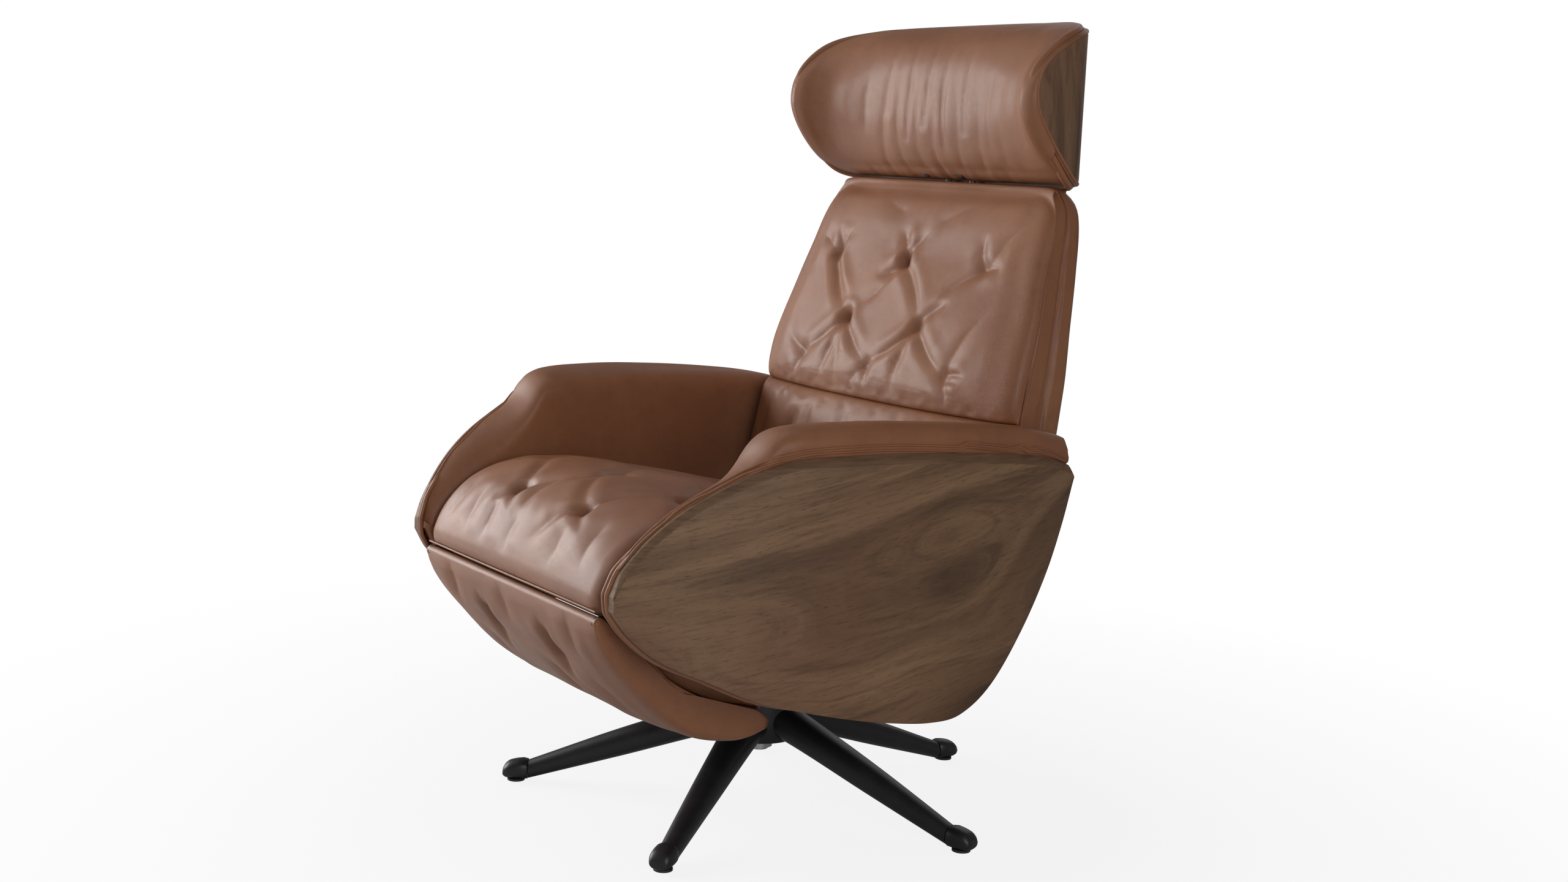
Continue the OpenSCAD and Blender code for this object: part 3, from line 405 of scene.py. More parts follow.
def foldLines(x, y, lines):      # each line: x0, y0, x1, y1, width, depth, bow
    total = np.zeros_like(x)
    for x0, y0, x1, y1, wide, deep, bow in lines:
        dx, dy = x1 - x0, y1 - y0
        long = math.hypot(dx, dy)
        along = ((x - x0) * dx + (y - y0) * dy) / long**2
        t = np.clip(along, 0, 1)
        side = ((x - x0) * -dy + (y - y0) * dx) / long - bow * np.sin(np.pi * t)
        past = (along - t) * long
        away = np.hypot(side, past)
        fade = smoothStep(t, -0.25, 0.12) * (1 - smoothStep(t, 0.45, 1.05))
        total += deep * fade * (0.75 * np.exp(-away / (0.42 * wide)) + 0.5 * np.exp(-(away / wide) ** 2)
                                - 0.32 * np.exp(-((away - 2.1 * wide) / (1.2 * wide)) ** 2))
    return total


def station(i, n, power=1.25):
    t = 2 * i / n - 1
    return math.copysign(1 - (1 - abs(t)) ** power, t)


# Sides of the chair
sides = {"halfWidth": 384, "radius": 960, "panel": 14, "top": 566, "low": 207, "front": 424, "rear": 277,
         "armIn": 252, "armOut": 14.6, "splay": 0.1, "rise": 38, "armLow": 300}


def widthAt(y):
    return sides["halfWidth"] - sides["radius"] + math.sqrt(sides["radius"] ** 2 - (y + 10) ** 2)


def armFace(y):
    return sides["armIn"] + sides["splay"] * (y + 420)


top, low, front, rear = sides["top"], sides["low"], sides["front"], sides["rear"]
panelHigh = [
    (-front, top - 172), (-front + 12, top - 140), (-372, top - 90), (-319, top - 50), (-250, top - 17),
    (-204, top - 4), (-120, top), (-47, top), (70, top - 6), (184, top - 17), (rear - 8, top - 37),
    (rear, top - 51)]
panelLow = [
    (-front, low + 168), (-403, low + 137), (-367, low + 105), (-310, low + 78), (-251, low + 51),
    (-193, low + 35), (-120, low + 18), (-59, low + 7), (9, low - 1), (59, low + 3), (115, low + 36),
    (174, low + 104), (224, low + 180), (254, low + 243), (rear, top - 55)]


def panelEdge(y):      # the slanting band is narrower round the front
    return max(1, min(8 + 3 * smoothStep(y, -300, -150), (y + front) * 0.5 + 3, (rear - y) * 0.9 + 2))


def mirrored(rings):
    return [[(-x, y, z) for x, y, z in ring] for ring in rings]


def panelRings():      # sections of the right side panel, from front to rear
    places = list(-front + 40 * np.linspace(0, 1, 26) ** 1.6) + list(np.linspace(-380, 250, 90)) \
        + list(rear - 26 * np.linspace(1, 0, 20) ** 1.5)
    rings = []
    for y in places:
        x, h, l = widthAt(y), curve(panelHigh, y), curve(panelLow, y)
        b = min(panelEdge(y), (h - l) * 0.45)
        rings.append([(x - sides["panel"], y, l), (x - 1.2, y, l), (x - 0.3, y, l + 0.4), (x, y, l + 1.4),
                      *[(x, y, l + (h - b - 1.2 - l) * k / 12) for k in range(1, 12)], (x, y, h - b - 1.2),
                      (x - 0.9, y, h - b + 0.9), (x - b * 0.5, y, h - b * 0.5), (x - b + 1.2, y, h - 0.9),
                      (x - b + 0.2, y, h - 0.1), (x - sides["panel"], y, h - 0.2)])
    return rings


def paintEdge(piece, isEdge):      # the slanting band takes the second material
    piece.data.materials.append(edgeWood)
    for face in piece.data.polygons:
        if isEdge(face):
            face.material_index = 1


for side, flip in (("right", False), ("left", True)):
    rings = panelRings()
    panel = loft(side + "WalnutPanel", mirrored(rings) if flip else rings, walnut)
    paintEdge(panel, lambda f: 0.3 < abs(f.normal.x) < 0.93 and f.normal.z > 0.15)
    panel.data.set_sharp_from_angle(angle=math.radians(28))
    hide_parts(side + "_side_panel")
    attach(panel, "chassis")
print("walnut panels made")

armPads = {
    "seamUp": 15, "seamDeep": 1.6,
    "riseCurve": [(-front, 0.07), (-400, 0.11), (-350, 0.13), (-300, 0.15), (-268, 0.2), (-250, 0.4),
        (-236, 0.74), (-221, 0.95), (-195, 1.02), (-50, 1), (180, 1), (270, 0.95)]}


def armRing(y):
    o, i, h = widthAt(y) - sides["armOut"], armFace(y), curve(panelHigh, y)
    l = min(max(curve(panelLow, y) + 8, sides["armLow"] if -330 < y < 180 else 0), h - 14)
    r = sides["rise"] * curve(armPads["riseCurve"], y)
    w, q = o - i, min(26, (h + r - l) * 0.45)
    e = min(8, r * 0.36)
    outer = [
        (o - 2, l), (o, (l + h) / 2), (o, h + 0.8), (o + e * 0.75, h + r * 0.1), (o + e, h + r * 0.26),
        (o + e * 0.98, h + r * 0.44), (o + e * 0.7, h + r * 0.66), (o + e * 0.1, h + r * 0.85),
        (o - w * 0.1, h + r * 0.96), (o - w * 0.24, h + r), (o - w * 0.46, h + r - q * 0.03),
        (o - w * 0.68, h + r - q * 0.14), (i + w * 0.14, h + r - q * 0.34), (i + w * 0.04, h + r - q * 0.62),
        (i, h + r - q), (i, (l + h) / 2), (i, l + q * 0.5), (i + w * 0.08, l + q * 0.12), (i + w * 0.2, l)]
    line = soften(resample(outer, 84), 3)
    fall = 30 * (1 - smoothStep(y, -320, -215))
    inward = np.clip((o + e - 4 - line[:, 0]) / max(w, 1), 0, 1) ** 1.3 * smoothStep(line[:, 1], l + 10, h)
    return [(x, y, z) for x, z in zip(line[:, 0], line[:, 1] - fall * inward)]


def armRings():
    places = list(-front + 1 + 26 * np.linspace(0, 1, 16) ** 1.8) + list(np.linspace(-390, 240, 110)) \
        + list(268 - 22 * np.linspace(1, 0, 12) ** 1.6)
    rings = [armRing(y) for y in places]
    for k, (y, ring) in enumerate(zip(places, rings)):      # round off both ends, towards the wood
        past = min(1, (y + front - 1) / 11, (268 - y) / 5)
        ring = np.array(ring)
        middle = np.array([ring[:, 0].max(), y, ring[:, 2].mean()])
        rings[k] = [tuple(p) for p in middle + (ring - middle) * (0.6 + 0.4 * math.sqrt(1 - (1 - past) ** 2))]
    return rings


for side, flip in (("right", False), ("left", True)):
    rings = armRings()
    pad = loft(side + "ArmLeather", mirrored(rings) if flip else rings, leather)
    points, normals = readSurface(pad)
    x, y, z = np.abs(points[:, 0]), points[:, 1], points[:, 2]
    wood = curves(panelHigh, y)
    riseHere = sides["rise"] * curves(armPads["riseCurve"], y)
    outside = smoothStep(x - np.array([widthAt(v) for v in y]) + 26, 0, 8)
    seam = np.exp(-((z - wood - np.minimum(armPads["seamUp"], riseHere * 0.62)) / 1.9) ** 2) * outside
    inner = 1 - outside
    dimple = 1.6 * np.sin(y / 61 + 0.7) * np.sin(z / 47) * inner      # the inner face is never quite flat
    writePoints(pad, points - normals * (armPads["seamDeep"] * seam + dimple * 0.4)[:, None])
    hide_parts(side + "_arm_pad")
    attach(pad, "chassis")
print("arms made")


def capped(rings, bulge, half=None, steps=7):      # rings added at both ends close a side with a soft bulge
    rings = [np.array(r, float) for r in rings]
    out = list(rings)
    for end, place in ((rings[0], 0), (rings[-1], len(rings))):
        middle = end.mean(0)
        away = math.copysign(1, middle[0])
        extra = []
        for k in range(1, steps):
            share = 1 - (k / steps) ** 1.5 * 0.985
            ring = middle + (end - middle) * share
            if half:      # a tall thin side closes towards its own middle line
                top, z = int(np.argmax(end[:, 2])), end[:, 2]
                line = (np.interp(z, end[:top + 1, 2], end[:top + 1, 1])
                        + np.interp(z, end[top:, 2][::-1], end[top:, 1][::-1])) / 2
                ring = np.stack([[away * half(v) for v in z], line + (end[:, 1] - line) * share, z], 1)
            ring[:, 0] += away * bulge * (1 - share**2.6)
            extra.append(ring)
        out = (extra[::-1] + out) if place == 0 else (out + extra)
    return out


# Seat cushion
seat = {
    "crest": 490, "floor": 360, "front": 425, "gap": 7, "deep": 14, "crown": 13,
    "tufts": [(-72, -372), (101, -372), (-180, -258), (10, -260), (188, -258), (-89, -150), (89, -150),
        (-178, -50), (0, -50), (178, -50)]}
seat["line"] = [(-270, 478), (-200, 472), (-130, 459), (-60, 445), (20, 428), (104, 404)]
# Folds: start x, y, end x, y, width, depth, bow
seat["folds"] = [
    (101, -382, 66, -424, 10, 5.4, -3), (66, -420, 34, -478, 12, 3.4, 3), (101, -384, 188, -262, 11, 5, 14),
    (10, -262, -26, -352, 11, 5.4, 16), (-24, -352, -14, -446, 12, 3.8, -8),
    (-72, -386, -104, -430, 10, 4.6, 4), (-72, -386, -46, -440, 10, 4.4, -3),
    (-72, -382, -180, -262, 11, 3.8, -12), (-72, -380, 10, -262, 11, 4.6, -10),
    (101, -380, 10, -262, 11, 3.6, 12), (101, -386, 148, -436, 10, 3.6, -3),
    (188, -260, 236, -320, 12, 3.2, 5), (-180, -260, -230, -330, 12, 3.4, -5),
    (10, -256, -89, -150, 12, 3.2, 6), (10, -256, 89, -150, 12, 3.4, -6), (188, -256, 89, -150, 12, 3, 6),
    (-180, -256, -89, -150, 12, 3, -6), (188, -258, 240, -190, 12, 3, 4),
    (-196, -402, -204, -496, 14, 2.6, 4), (-140, -424, -136, -506, 13, 2.4, -3),
    (-84, -436, -88, -510, 12, 2.6, 3), (-14, -452, -10, -516, 13, 2.2, -3),
    (108, -440, 102, -508, 14, 2.2, 3), (176, -410, 184, -498, 14, 2.6, -4)]


def seatHalf(y):
    return armFace(y) - seat["gap"] - 0.0025 * (y + 420)


def seatRing(u):
    a = abs(u)
    e = 16 * roundOff(a, 0.9)
    c = seat["crown"] * (1 - a**2.5)
    f, t = seat["front"] - e, seat["crest"] - 12 - e
    line, push = [], []
    for angle in np.linspace(2, 90, 40):
        g = math.radians(angle)
        tuck = 5 * max(0, 1 - angle / 13) ** 2      # room for the leg rest as it swings up
        line.append((-f + 155 * (1 - math.cos(g)) + tuck,
                     seat["floor"] + 5 + (t - seat["floor"] - 5) * math.sin(g)))
        push.append((-math.cos(g), math.sin(g), min(1, (angle - 2) / 50) * c))
    for y in np.linspace(-266, 98, 82):
        line.append((y, curve(seat["line"], y) - e))
        push.append((0, 1, c * (1 - smoothStep(y, 60, 110))))
    rear = [(104, -86), (110, -89.5), (114, -98), (116.5, -110), (118, seat["floor"] + 12 - seat["crest"]),
            (115, seat["floor"] + 3 - seat["crest"]), (112, seat["floor"] - seat["crest"])]
    line += [(y - e * 0.5, seat["crest"] + z - e * 0.4 * (z > -120)) for y, z in rear]
    line += [(y, seat["floor"]) for y in np.linspace(90, -400, 14)]
    line += [(-seat["front"] + 13 + e, seat["floor"]), (-seat["front"] + 8 + e, seat["floor"] + 1.6)]
    push += [(0, 1, 0)] * (len(line) - len(push))
    return [(u * seatHalf(p[0]), p[0] + n[0] * n[2], p[1] + n[1] * n[2]) for p, n in zip(line, push)]


seatPiece = loft("seatLeather", capped([seatRing(station(i, 150)) for i in range(151)], 2), leather)
swell(seatPiece, 5.0, lambda p: smoothStep(p[:, 2], 372, 400) * smoothStep(p[:, 1], 110, 60)
      * (1 - smoothStep(np.abs(p[:, 0]), 215, 262)), voxel=0.0078)
points, normals = readSurface(seatPiece)
x, y, z = points.T
level = np.array([curve(seat["line"], min(98, v)) if v > -270 else 478 for v in y]) + 13
run = np.where(y < -200, y - np.clip(level - z, 0, 200) * 0.9 * smoothStep(-y, 240, 330), y)
mask = smoothStep(z, 364, 378) * (1 - smoothStep(np.abs(x) / seatHalf(y), 0.90, 0.985))
mask *= normals[:, 2] * 0.5 + 0.5 > 0.3
tufts = [(a, b - (12 if b < -300 else 0)) for a, b in seat["tufts"]]
tufted = tuftDent(x, run, tufts, 29, seat["deep"], 8)
folds = foldLines(x, run, seat["folds"])
soft = 1.2 * np.sin(x / 37 + y / 53) * np.sin(y / 41 - x / 90)
writePoints(seatPiece, points - normals * ((tufted + folds + soft) * mask)[:, None])
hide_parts("seat_cushion")
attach(seatPiece, "seat")

# Flap of leather that closes the gap between seat and back
flap = {
    "half": 289,
    "line": [(100, 401.4), (112, 401.5), (124, 401.4), (134, 401), (139.5, 400.4), (141.3, 399.7),
        (139.5, 399), (130, 398.8), (115, 398.8), (100, 398.6)]}
rings = [[(u * flap["half"], *p) for p in flap["line"]] for u in np.linspace(-1, 1, 60)]
flapPiece = loft("seatFlap", rings, leather)
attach(flapPiece, "seat")
print("seat made")

# Back and lumbar cushions
back = {
    "half": 300, "low": 405.5, "top": 907.5, "seam": 582, "deep": 7.5, "rake": 16.1, "pivotY": 150,
    "board": 12, "foldWidth": 0.8, "foldDepth": 1.2,
    "width": [(400, -1), (600, 0), (650, -1), (720, -10), (790, -24), (870, -39), (906, -62), (920, -70)],
    "face": [(405.5, 118), (440, 119), (500, 130), (582, 148), (640, 166), (700, 190), (790, 231), (870, 262),
        (893, 276)],
    "crown": [(405.5, 30), (582, 34), (650, 26), (720, 20), (790, 10), (900, 8)],
    "tufts": [(-172, 788), (0, 788), (172, 788), (-86, 704), (86, 704), (-172, 637), (0, 637), (172, 637)]}
back["folds"] = [
    (0, 792, -27, 838, 10.8, 3.6, -3), (0, 792, 36, 834, 10.8, 3.6, 3), (0, 784, -52, 762, 10.8, 3.9, 3),
    (0, 788, 86, 704, 10.8, 3.6, 7), (0, 788, -86, 704, 12.2, 2.2, 8), (-180, 785, -90, 706, 12.2, 5, -7),
    (-162, 772, -98, 722, 8.1, 2.8, -4), (-172, 792, -188, 834, 10.8, 3.3, -3),
    (-172, 792, -150, 830, 10.8, 3, 3), (-86, 700, -172, 637, 10.8, 4.1, 5),
    (-86, 700, 0, 637, 10.8, 4.1, -6), (-90, 698, -116, 592, 12.2, 3.3, 5),
    (-84, 698, -62, 592, 12.2, 2.2, -4), (86, 708, 137, 738, 10.8, 3.3, 3), (86, 700, 0, 637, 9.5, 4.4, 6),
    (92, 694, 172, 637, 10.8, 3.9, -5), (82, 694, 70, 592, 12.2, 3, -4), (0, 632, 6, 598, 10.8, 2.8, 2),
    (0, 632, -34, 596, 10.8, 2.2, -2), (178, 640, 214, 640, 8.1, 3, 1), (180, 630, 210, 628, 6.8, 2.2, 1),
    (176, 645, 228, 742, 13.5, 2, 7), (172, 784, 108, 728, 12.2, 2.3, -9), (193, 800, 238, 862, 13.5, 2.1, 4),
    (176, 789, 216, 790, 9.5, 2.8, 1), (172, 794, 160, 838, 12.2, 2.5, 3), (60, 850, 130, 880, 16.2, 1.7, 3),
    (-172, 632, -186, 594, 10.8, 2.8, -2), (-172, 640, -236, 668, 13.5, 2.5, 4),
    (-178, 792, -240, 820, 13.5, 2.2, -4), (172, 632, 190, 594, 10.8, 2.5, 2),
    (-40, 860, -110, 884, 16.2, 1.4, 2)]
lumbar = {
    "folds": [(-210, 470, -118, 574, 15.6, 4.2, -10), (-102, 500, -108, 576, 13.2, 3.5, 3),
        (-20, 520, -8, 578, 14.4, 2.4, 2), (90, 510, 104, 576, 14.4, 2.8, -4),
        (190, 490, 150, 576, 15.6, 3.1, 6), (-240, 540, -262, 470, 14.4, 2.4, 3),
        (236, 545, 258, 470, 14.4, 2.4, -3)]}
up = (math.sin(math.radians(back["rake"])), math.cos(math.radians(back["rake"])))
boardLow = (back["pivotY"] + 55, back["low"] + 6)
boardBend = (back["pivotY"] + 65, back["seam"] + 3)


def backHalf(z):
    return back["half"] + curve(back["width"], z)


def boardFront(z):
    if z < boardBend[1]:
        return (boardLow[0] + (z - boardLow[1]) * (boardBend[0] - boardLow[0]) / (boardBend[1] - boardLow[1])
                - back["board"] / 2)
    return boardBend[0] + (z - boardBend[1]) * up[0] / up[1] - back["board"] / 2 / up[1]


def backRing(u, z0, z1, steps, isTop, lift=0):
    a = abs(u)
    e = 16 * roundOff(a, 0.9)
    drop = 0.8 * a**3 + 0.25 * e if isTop else 0
    high = back["top"] - 8 - drop if isTop else z1
    over = boardFront(high) + 1.1
    ring = []
    for s in np.linspace(0, 1, steps):
        z = z0 + (z1 - drop - z0) * s
        lip = 12 * roundOff(max(0, 1 - 9 * s, 0 if isTop else 9 * s - 8), 0)
        lip += (6 * max(0, (s - 0.78) / 0.22) ** 2.5 + 5 * roundOff(max(0, (s - 0.93) / 0.07), 0)) * isTop
        y = curve(back["face"], z) + curve(back["crown"], z) * a**2.5 + lip + e - lift * (1 - a**4)
        ring.append((u * backHalf(z), min(y, boardFront(z) - 8), z))
    if isTop:
        front = ring[-1][1]
        for share, z in ((0.1, -5.2), (0.24, -2.4), (0.42, -0.9), (0.62, -0.2), (0.82, 0.2), (1, 0)):
            ring.append((u * backHalf(high), front + (over - front) * share, back["top"] + z - drop))
    for z in np.linspace(high, z0, 60):
        ring.append((u * backHalf(z) * 0.9995, boardFront(z) - 1.2 - 0.8 * (1 - a * a), z))
    return ring


def finishCushion(piece, tufts, folds, deep, low, high, name, body):
    points, normals = readSurface(piece)
    x, y, z = points.T
    wide = curves(back["width"], z) + back["half"]
    mask = (1 - smoothStep(np.abs(x) / wide, 0.90, 0.985)) * smoothStep(z, low, low + 12)
    mask *= (1 - smoothStep(z, high - 14, high)) * smoothStep(-normals[:, 1], 0.1, 0.5)
    folds = [(*f[:4], f[4] * back["foldWidth"], f[5] * back["foldDepth"], f[6]) for f in folds]
    dent = foldLines(x, z, folds) + 1.1 * np.sin(x / 34 + z / 47) * np.sin(z / 36 - x / 80)
    if tufts:
        dent += tuftDent(x, z, tufts, 25, deep, 8)
    gather = 0.9 * np.sin(x / 7.3 + 1.3 * np.sin(x / 31)) + 0.7 * np.sin(x / 4.1 + 2)      # puckers
    ends = np.exp(-((z - low - 6) / 9) ** 2) + np.exp(-((high - 6 - z) / 9) ** 2) * (high < 600)
    gather = gather * ends * mask
    writePoints(piece, points - normals * (dent * mask + gather)[:, None])
    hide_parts(name)
    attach(piece, body)


def frontOnly(low, high):
    def share(p):
        wide = curves(back["width"], p[:, 2]) + back["half"]
        return smoothStep(p[:, 2], low, low + 26) * (1 - smoothStep(p[:, 2], high - 26, high)) \
            * (1 - smoothStep(np.abs(p[:, 0]) / wide, 0.79, 0.94))
    return share


rings = [backRing(station(i, 150), back["seam"] + 0.2, back["top"] - 8.5, 120, True) for i in range(151)]
backPiece = loft("backLeather", capped(rings, 0.8, backHalf), leather)
swell(backPiece, 5.0, frontOnly(582, 900), voxel=0.0078)
finishCushion(backPiece, back["tufts"], back["folds"], back["deep"], 582, 906, "back_cushion", "back")
rings = [backRing(station(i, 110), back["low"], back["seam"] - 0.2, 66, False, 2) for i in range(111)]
lumbarPiece = loft("lumbarLeather", capped(rings, 0.8, backHalf), leather)
swell(lumbarPiece, 4.0, frontOnly(405, 582))
finishCushion(lumbarPiece, None, lumbar["folds"], 0, 405, 582, "lumbar_cushion", "back")
print("back cushions made")

# Rear cover of the back
cover = {
    "out": 18,
    "rear": [(405.5, 262), (480, 276), (560, 288), (703, 308), (791, 327), (862, 336), (897, 336)]}


def coverRing(u):
    a = abs(u)
    b = cover["out"] * (1 - a**2.2)
    e = 16 * roundOff(a, 0.86)
    ring = [(u * backHalf(z), boardFront(z) - 0.9, z) for z in np.linspace(back["low"], back["top"] - 8, 120)]
    ring += [(u * backHalf(back["top"]), y, back["top"] - 1.5 - 1.5 * a) for y in (303, 310, 317, 324)]
    for z in np.linspace(back["top"] - 8, back["low"], 66):
        r = 9 * roundOff(max(0, (z - 880) / 17, (420 - z) / 14.5), 0)
        ring.append((u * backHalf(z), curve(cover["rear"], z) + b - e - r, z))
    return ring


rings = capped([coverRing(station(i, 90)) for i in range(91)], 0.8, backHalf)
coverPiece = loft("backCoverLeather", rings, leather)
points, normals = readSurface(coverPiece)
x, y, z = points.T
rearFace = smoothStep(normals[:, 1], 0.3, 0.7)
slack = 1.4 * np.sin(x / 62 + 0.6) * np.sin(z / 71 + x / 200) + 0.5 * np.sin(x / 23 + z / 67)
seams = 1.6 * np.exp(-((np.abs(x) - 196) / 2.0) ** 2)
writePoints(coverPiece, points - normals * ((slack + seams) * rearFace)[:, None])
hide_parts("back_cover")
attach(coverPiece, "back")

# Leg rest cushion
legRest = {
    "hingeY": -417, "hingeZ": 351, "roll": 8, "half": 245, "board": 10.6,
    "inner": [(-400, 350), (-355, 325), (-309, 278), (-236, 238), (-175, 222), (-160, 214)],
    "outer": [(-159, 193), (-166, 178), (-193, 168), (-229, 171), (-266, 182), (-304, 203), (-342, 234),
        (-375, 266), (-402, 297), (-417, 320), (-424, 337)],
    "tufts": [(-89, 277), (89, 277)],
    "folds": [(-89, 280, -95, 330, 10, 4.5, 2), (-89, 280, -72, 326, 9, 4.0, -2),
        (89, 280, 84, 330, 10, 4.5, 2), (89, 280, 106, 324, 9, 4.0, 2), (-89, 270, -104, 232, 10, 3.6, -2),
        (89, 270, 72, 232, 10, 3.6, 2), (-20, 345, -16, 290, 14, 2.8, 3), (-170, 345, -176, 285, 14, 3.4, 3),
        (170, 345, 176, 285, 14, 3, -3), (30, 240, 26, 190, 15, 3.0, 3), (-150, 240, -160, 190, 15, 3.0, -3),
        (150, 236, 164, 190, 15, 3, 3)]}


def fineLine(points, count):      # a smooth line through the corner points
    points = np.array(points, float)
    run = lengthsAlong(points)
    axes = [list(zip(run, points[:, k])) for k in (0, 1)]
    return np.array([[curve(axis, v) for axis in axes] for v in np.linspace(0, run[-1], count)])


innerLine, outerLine = fineLine(legRest["inner"], 60), fineLine(legRest["outer"], 90)


def legRestRing(u):
    a = abs(u)
    e = 15 * roundOff(a, 0.88)
    x = u * legRest["half"]
    out = -np.abs(beside(outerLine))
    n = len(outerLine)
    place = np.arange(n)
    w = np.minimum(1, np.minimum(place / 26, (n - 1 - place) / 36))
    push = w * 6 * (1 - a**2.5) - e * np.minimum(1, 0.3 + w)
    ring = [(x, *p) for p in outerLine + out * push[:, None]]
    for g in np.linspace(180, 0, 14):
        g = math.radians(g)
        ring.append((x, legRest["hingeY"] + legRest["roll"] * math.cos(g),
                     legRest["hingeZ"] + legRest["roll"] * math.sin(g)))
    skin = innerLine + beside(innerLine) * legRest["board"]
    ring += [(x, *p) for p in skin[10:]]
    return ring


legPiece = loft("legRestLeather", capped([legRestRing(station(i, 120)) for i in range(121)], 1), leather)
swell(legPiece, 4.0, lambda p: smoothStep(p[:, 2], 168, 200) * (1 - smoothStep(p[:, 2], 300, 334))
      * (1 - smoothStep(np.abs(p[:, 0]), 190, 225)))
points, normals = readSurface(legPiece)
x, y, z = points.T
mask = smoothStep(-normals[:, 1] - normals[:, 2] * 0.6, 0.2, 0.6) * smoothStep(z, 170, 184) \
    * (1 - smoothStep(z, 332, 346)) * (1 - smoothStep(np.abs(x), 205, 228))
dent = tuftDent(x, z, legRest["tufts"], 27, 15) + foldLines(x, z, legRest["folds"])
dent = dent + np.sin(x / 33) * np.sin(z / 30 + x / 70)
wave = 1.6 * np.sin(x / 27 + 1) * np.exp(-((z - 172) / 14) ** 2)
writePoints(legPiece, points - normals * (dent * mask + wave * (np.abs(x) < 215))[:, None])
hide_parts("leg_rest_cushion")
wrap = {"half": 234.5, "deep": legRest["board"] - 0.6}


def wrappedRing(u):      # the leather on the back of the leg rest's board, with a curb at each side
    e = 4 * roundOff(abs(u), 0.95)
    share = np.linspace(0, 1, len(innerLine) - 6)
    curb = 15 * smoothStep(abs(u) * wrap["half"], 190, 212) * smoothStep(share, 0, 0.2)
    curb *= 1 - smoothStep(share, 0.86, 1)
    out = beside(innerLine)[6:]
    near = innerLine[6:] + out * (e - curb)[:, None]
    far = innerLine[6:] + out * (wrap["deep"] - e)
    return [(u * wrap["half"], *p) for p in near] + [(u * wrap["half"], *p) for p in far[::-1]]


wrapPiece = loft("legRestWrap", [wrappedRing(station(i, 40)) for i in range(41)], leather)
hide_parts("leg_rest_board")
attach(wrapPiece, "leg_rest")
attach(legPiece, "leg_rest")
print("cover and leg rest made")

# Headrest
head = {
    "low": 909.5, "top": 1140, "half": 290, "shell": 12, "rear": 355, "corner": 92, "wing": 51.5,
    "wingIn": 0.03, "front": 259, "depth": 59.5, "edge": 268, "roll": 20.6}
shellIn, wingX = head["rear"] - head["shell"], head["half"] - head["shell"]
flatX = wingX - head["corner"]
arcLong = head["corner"] * math.pi / 2
headLong = flatX + arcLong + head["wing"]
shellLong = headLong - 13.5
topZ, lowZ = head["top"], head["low"]
shellHigh = [
    (213, topZ - 98), (216, topZ - 83), (224, topZ - 69), (241, topZ - 52), (266, topZ - 35),
    (293, topZ - 23), (327, topZ - 13), (345, topZ - 8), (355, topZ - 7)]
shellLow = [
    (213, lowZ + 126), (216, lowZ + 106), (224, lowZ + 91), (241, lowZ + 66), (266, lowZ + 35),
    (293, lowZ + 12), (326, lowZ + 3), (355, lowZ + 2)]
frontLine = [(0, 259), (97, 258), (150, 254), (190, 246), (222, 235), (244, 219), (257, 206), (268, 199.5)]
# Section of the leather in the middle and at a wing, and the edge of the wood, from the top round the front
middleLine = [
    (343, 1139), (330, 1140), (313, 1137), (295, 1129), (279, 1115), (268, 1096), (261, 1070), (258.5, 1036),
    (259, 1000), (263, 970), (270, 945), (281, 926), (297, 914), (318, 910), (343, 909.5)]
wingLine = [
    (343, 1137), (318, 1130), (290, 1121), (262, 1107), (237, 1090), (216, 1070), (203, 1048), (199, 1022),
    (205, 998), (219, 974), (240, 950), (264, 931), (292, 917), (318, 911), (343, 910)]
woodLine = [
    (343, 1131), (321, 1124), (296, 1117), (270, 1106), (246, 1090), (229, 1076), (217, 1059), (213, 1039),
    (216, 1016), (226, 999), (243, 974), (267, 944.5), (294, 921.5), (319, 914), (343, 912)]


def plan(s):      # place and outward direction on the shell's inner face, s from the middle
    a, g = abs(s), math.copysign(1, s)
    if a < flatX:
        return s, shellIn, 0, 1
    if a < flatX + arcLong:
        t = (a - flatX) / head["corner"]
        return (g * (flatX + head["corner"] * math.sin(t)), shellIn - head["corner"] * (1 - math.cos(t)),
                g * math.sin(t), math.cos(t))
    past = a - flatX - arcLong
    return g * (wingX - head["wingIn"] * past), shellIn - head["corner"] - past, g, 0


middleFine, wingFine, woodFine = (fineLine(line, 240) for line in (middleLine, wingLine, woodLine))


def clipLine(line, rear, count):      # the part of a section in front of the shell
    line = line[line[:, 0] < rear - 0.4]
    ends = [np.array([[rear - 0.3, line[k, 1]]]) for k in (0, -1)]
    return resample(np.concatenate([ends[0], line, ends[1]]), count)


def headRing(x):
    a = abs(x)
    share = (head["front"] - curve(frontLine, min(a, head["edge"]))) / head["depth"]
    line = middleFine + (wingFine - middleFine) * share
    if a > head["edge"]:
        past = (a - head["edge"]) / head["roll"]
        line = woodFine + (wingFine - woodFine) * math.sqrt(max(0, 1 - past ** 2))
    rear = shellIn if a < flatX else 251 + math.sqrt(max(0, head["corner"] ** 2 - (a - flatX) ** 2))
    line = clipLine(line, rear, 150)
    low, high = line[-1, 1], line[0, 1]
    if a < wingX - 0.2:
        inner = [(rear - 0.3, v) for v in np.linspace(low + 0.5, high - 0.5, 30)]
    else:
        inner = clipLine(woodFine - [0.3, 0], 251, 30)[::-1]
    return [(x, *p) for p in line] + [(x, *p) for p in inner]


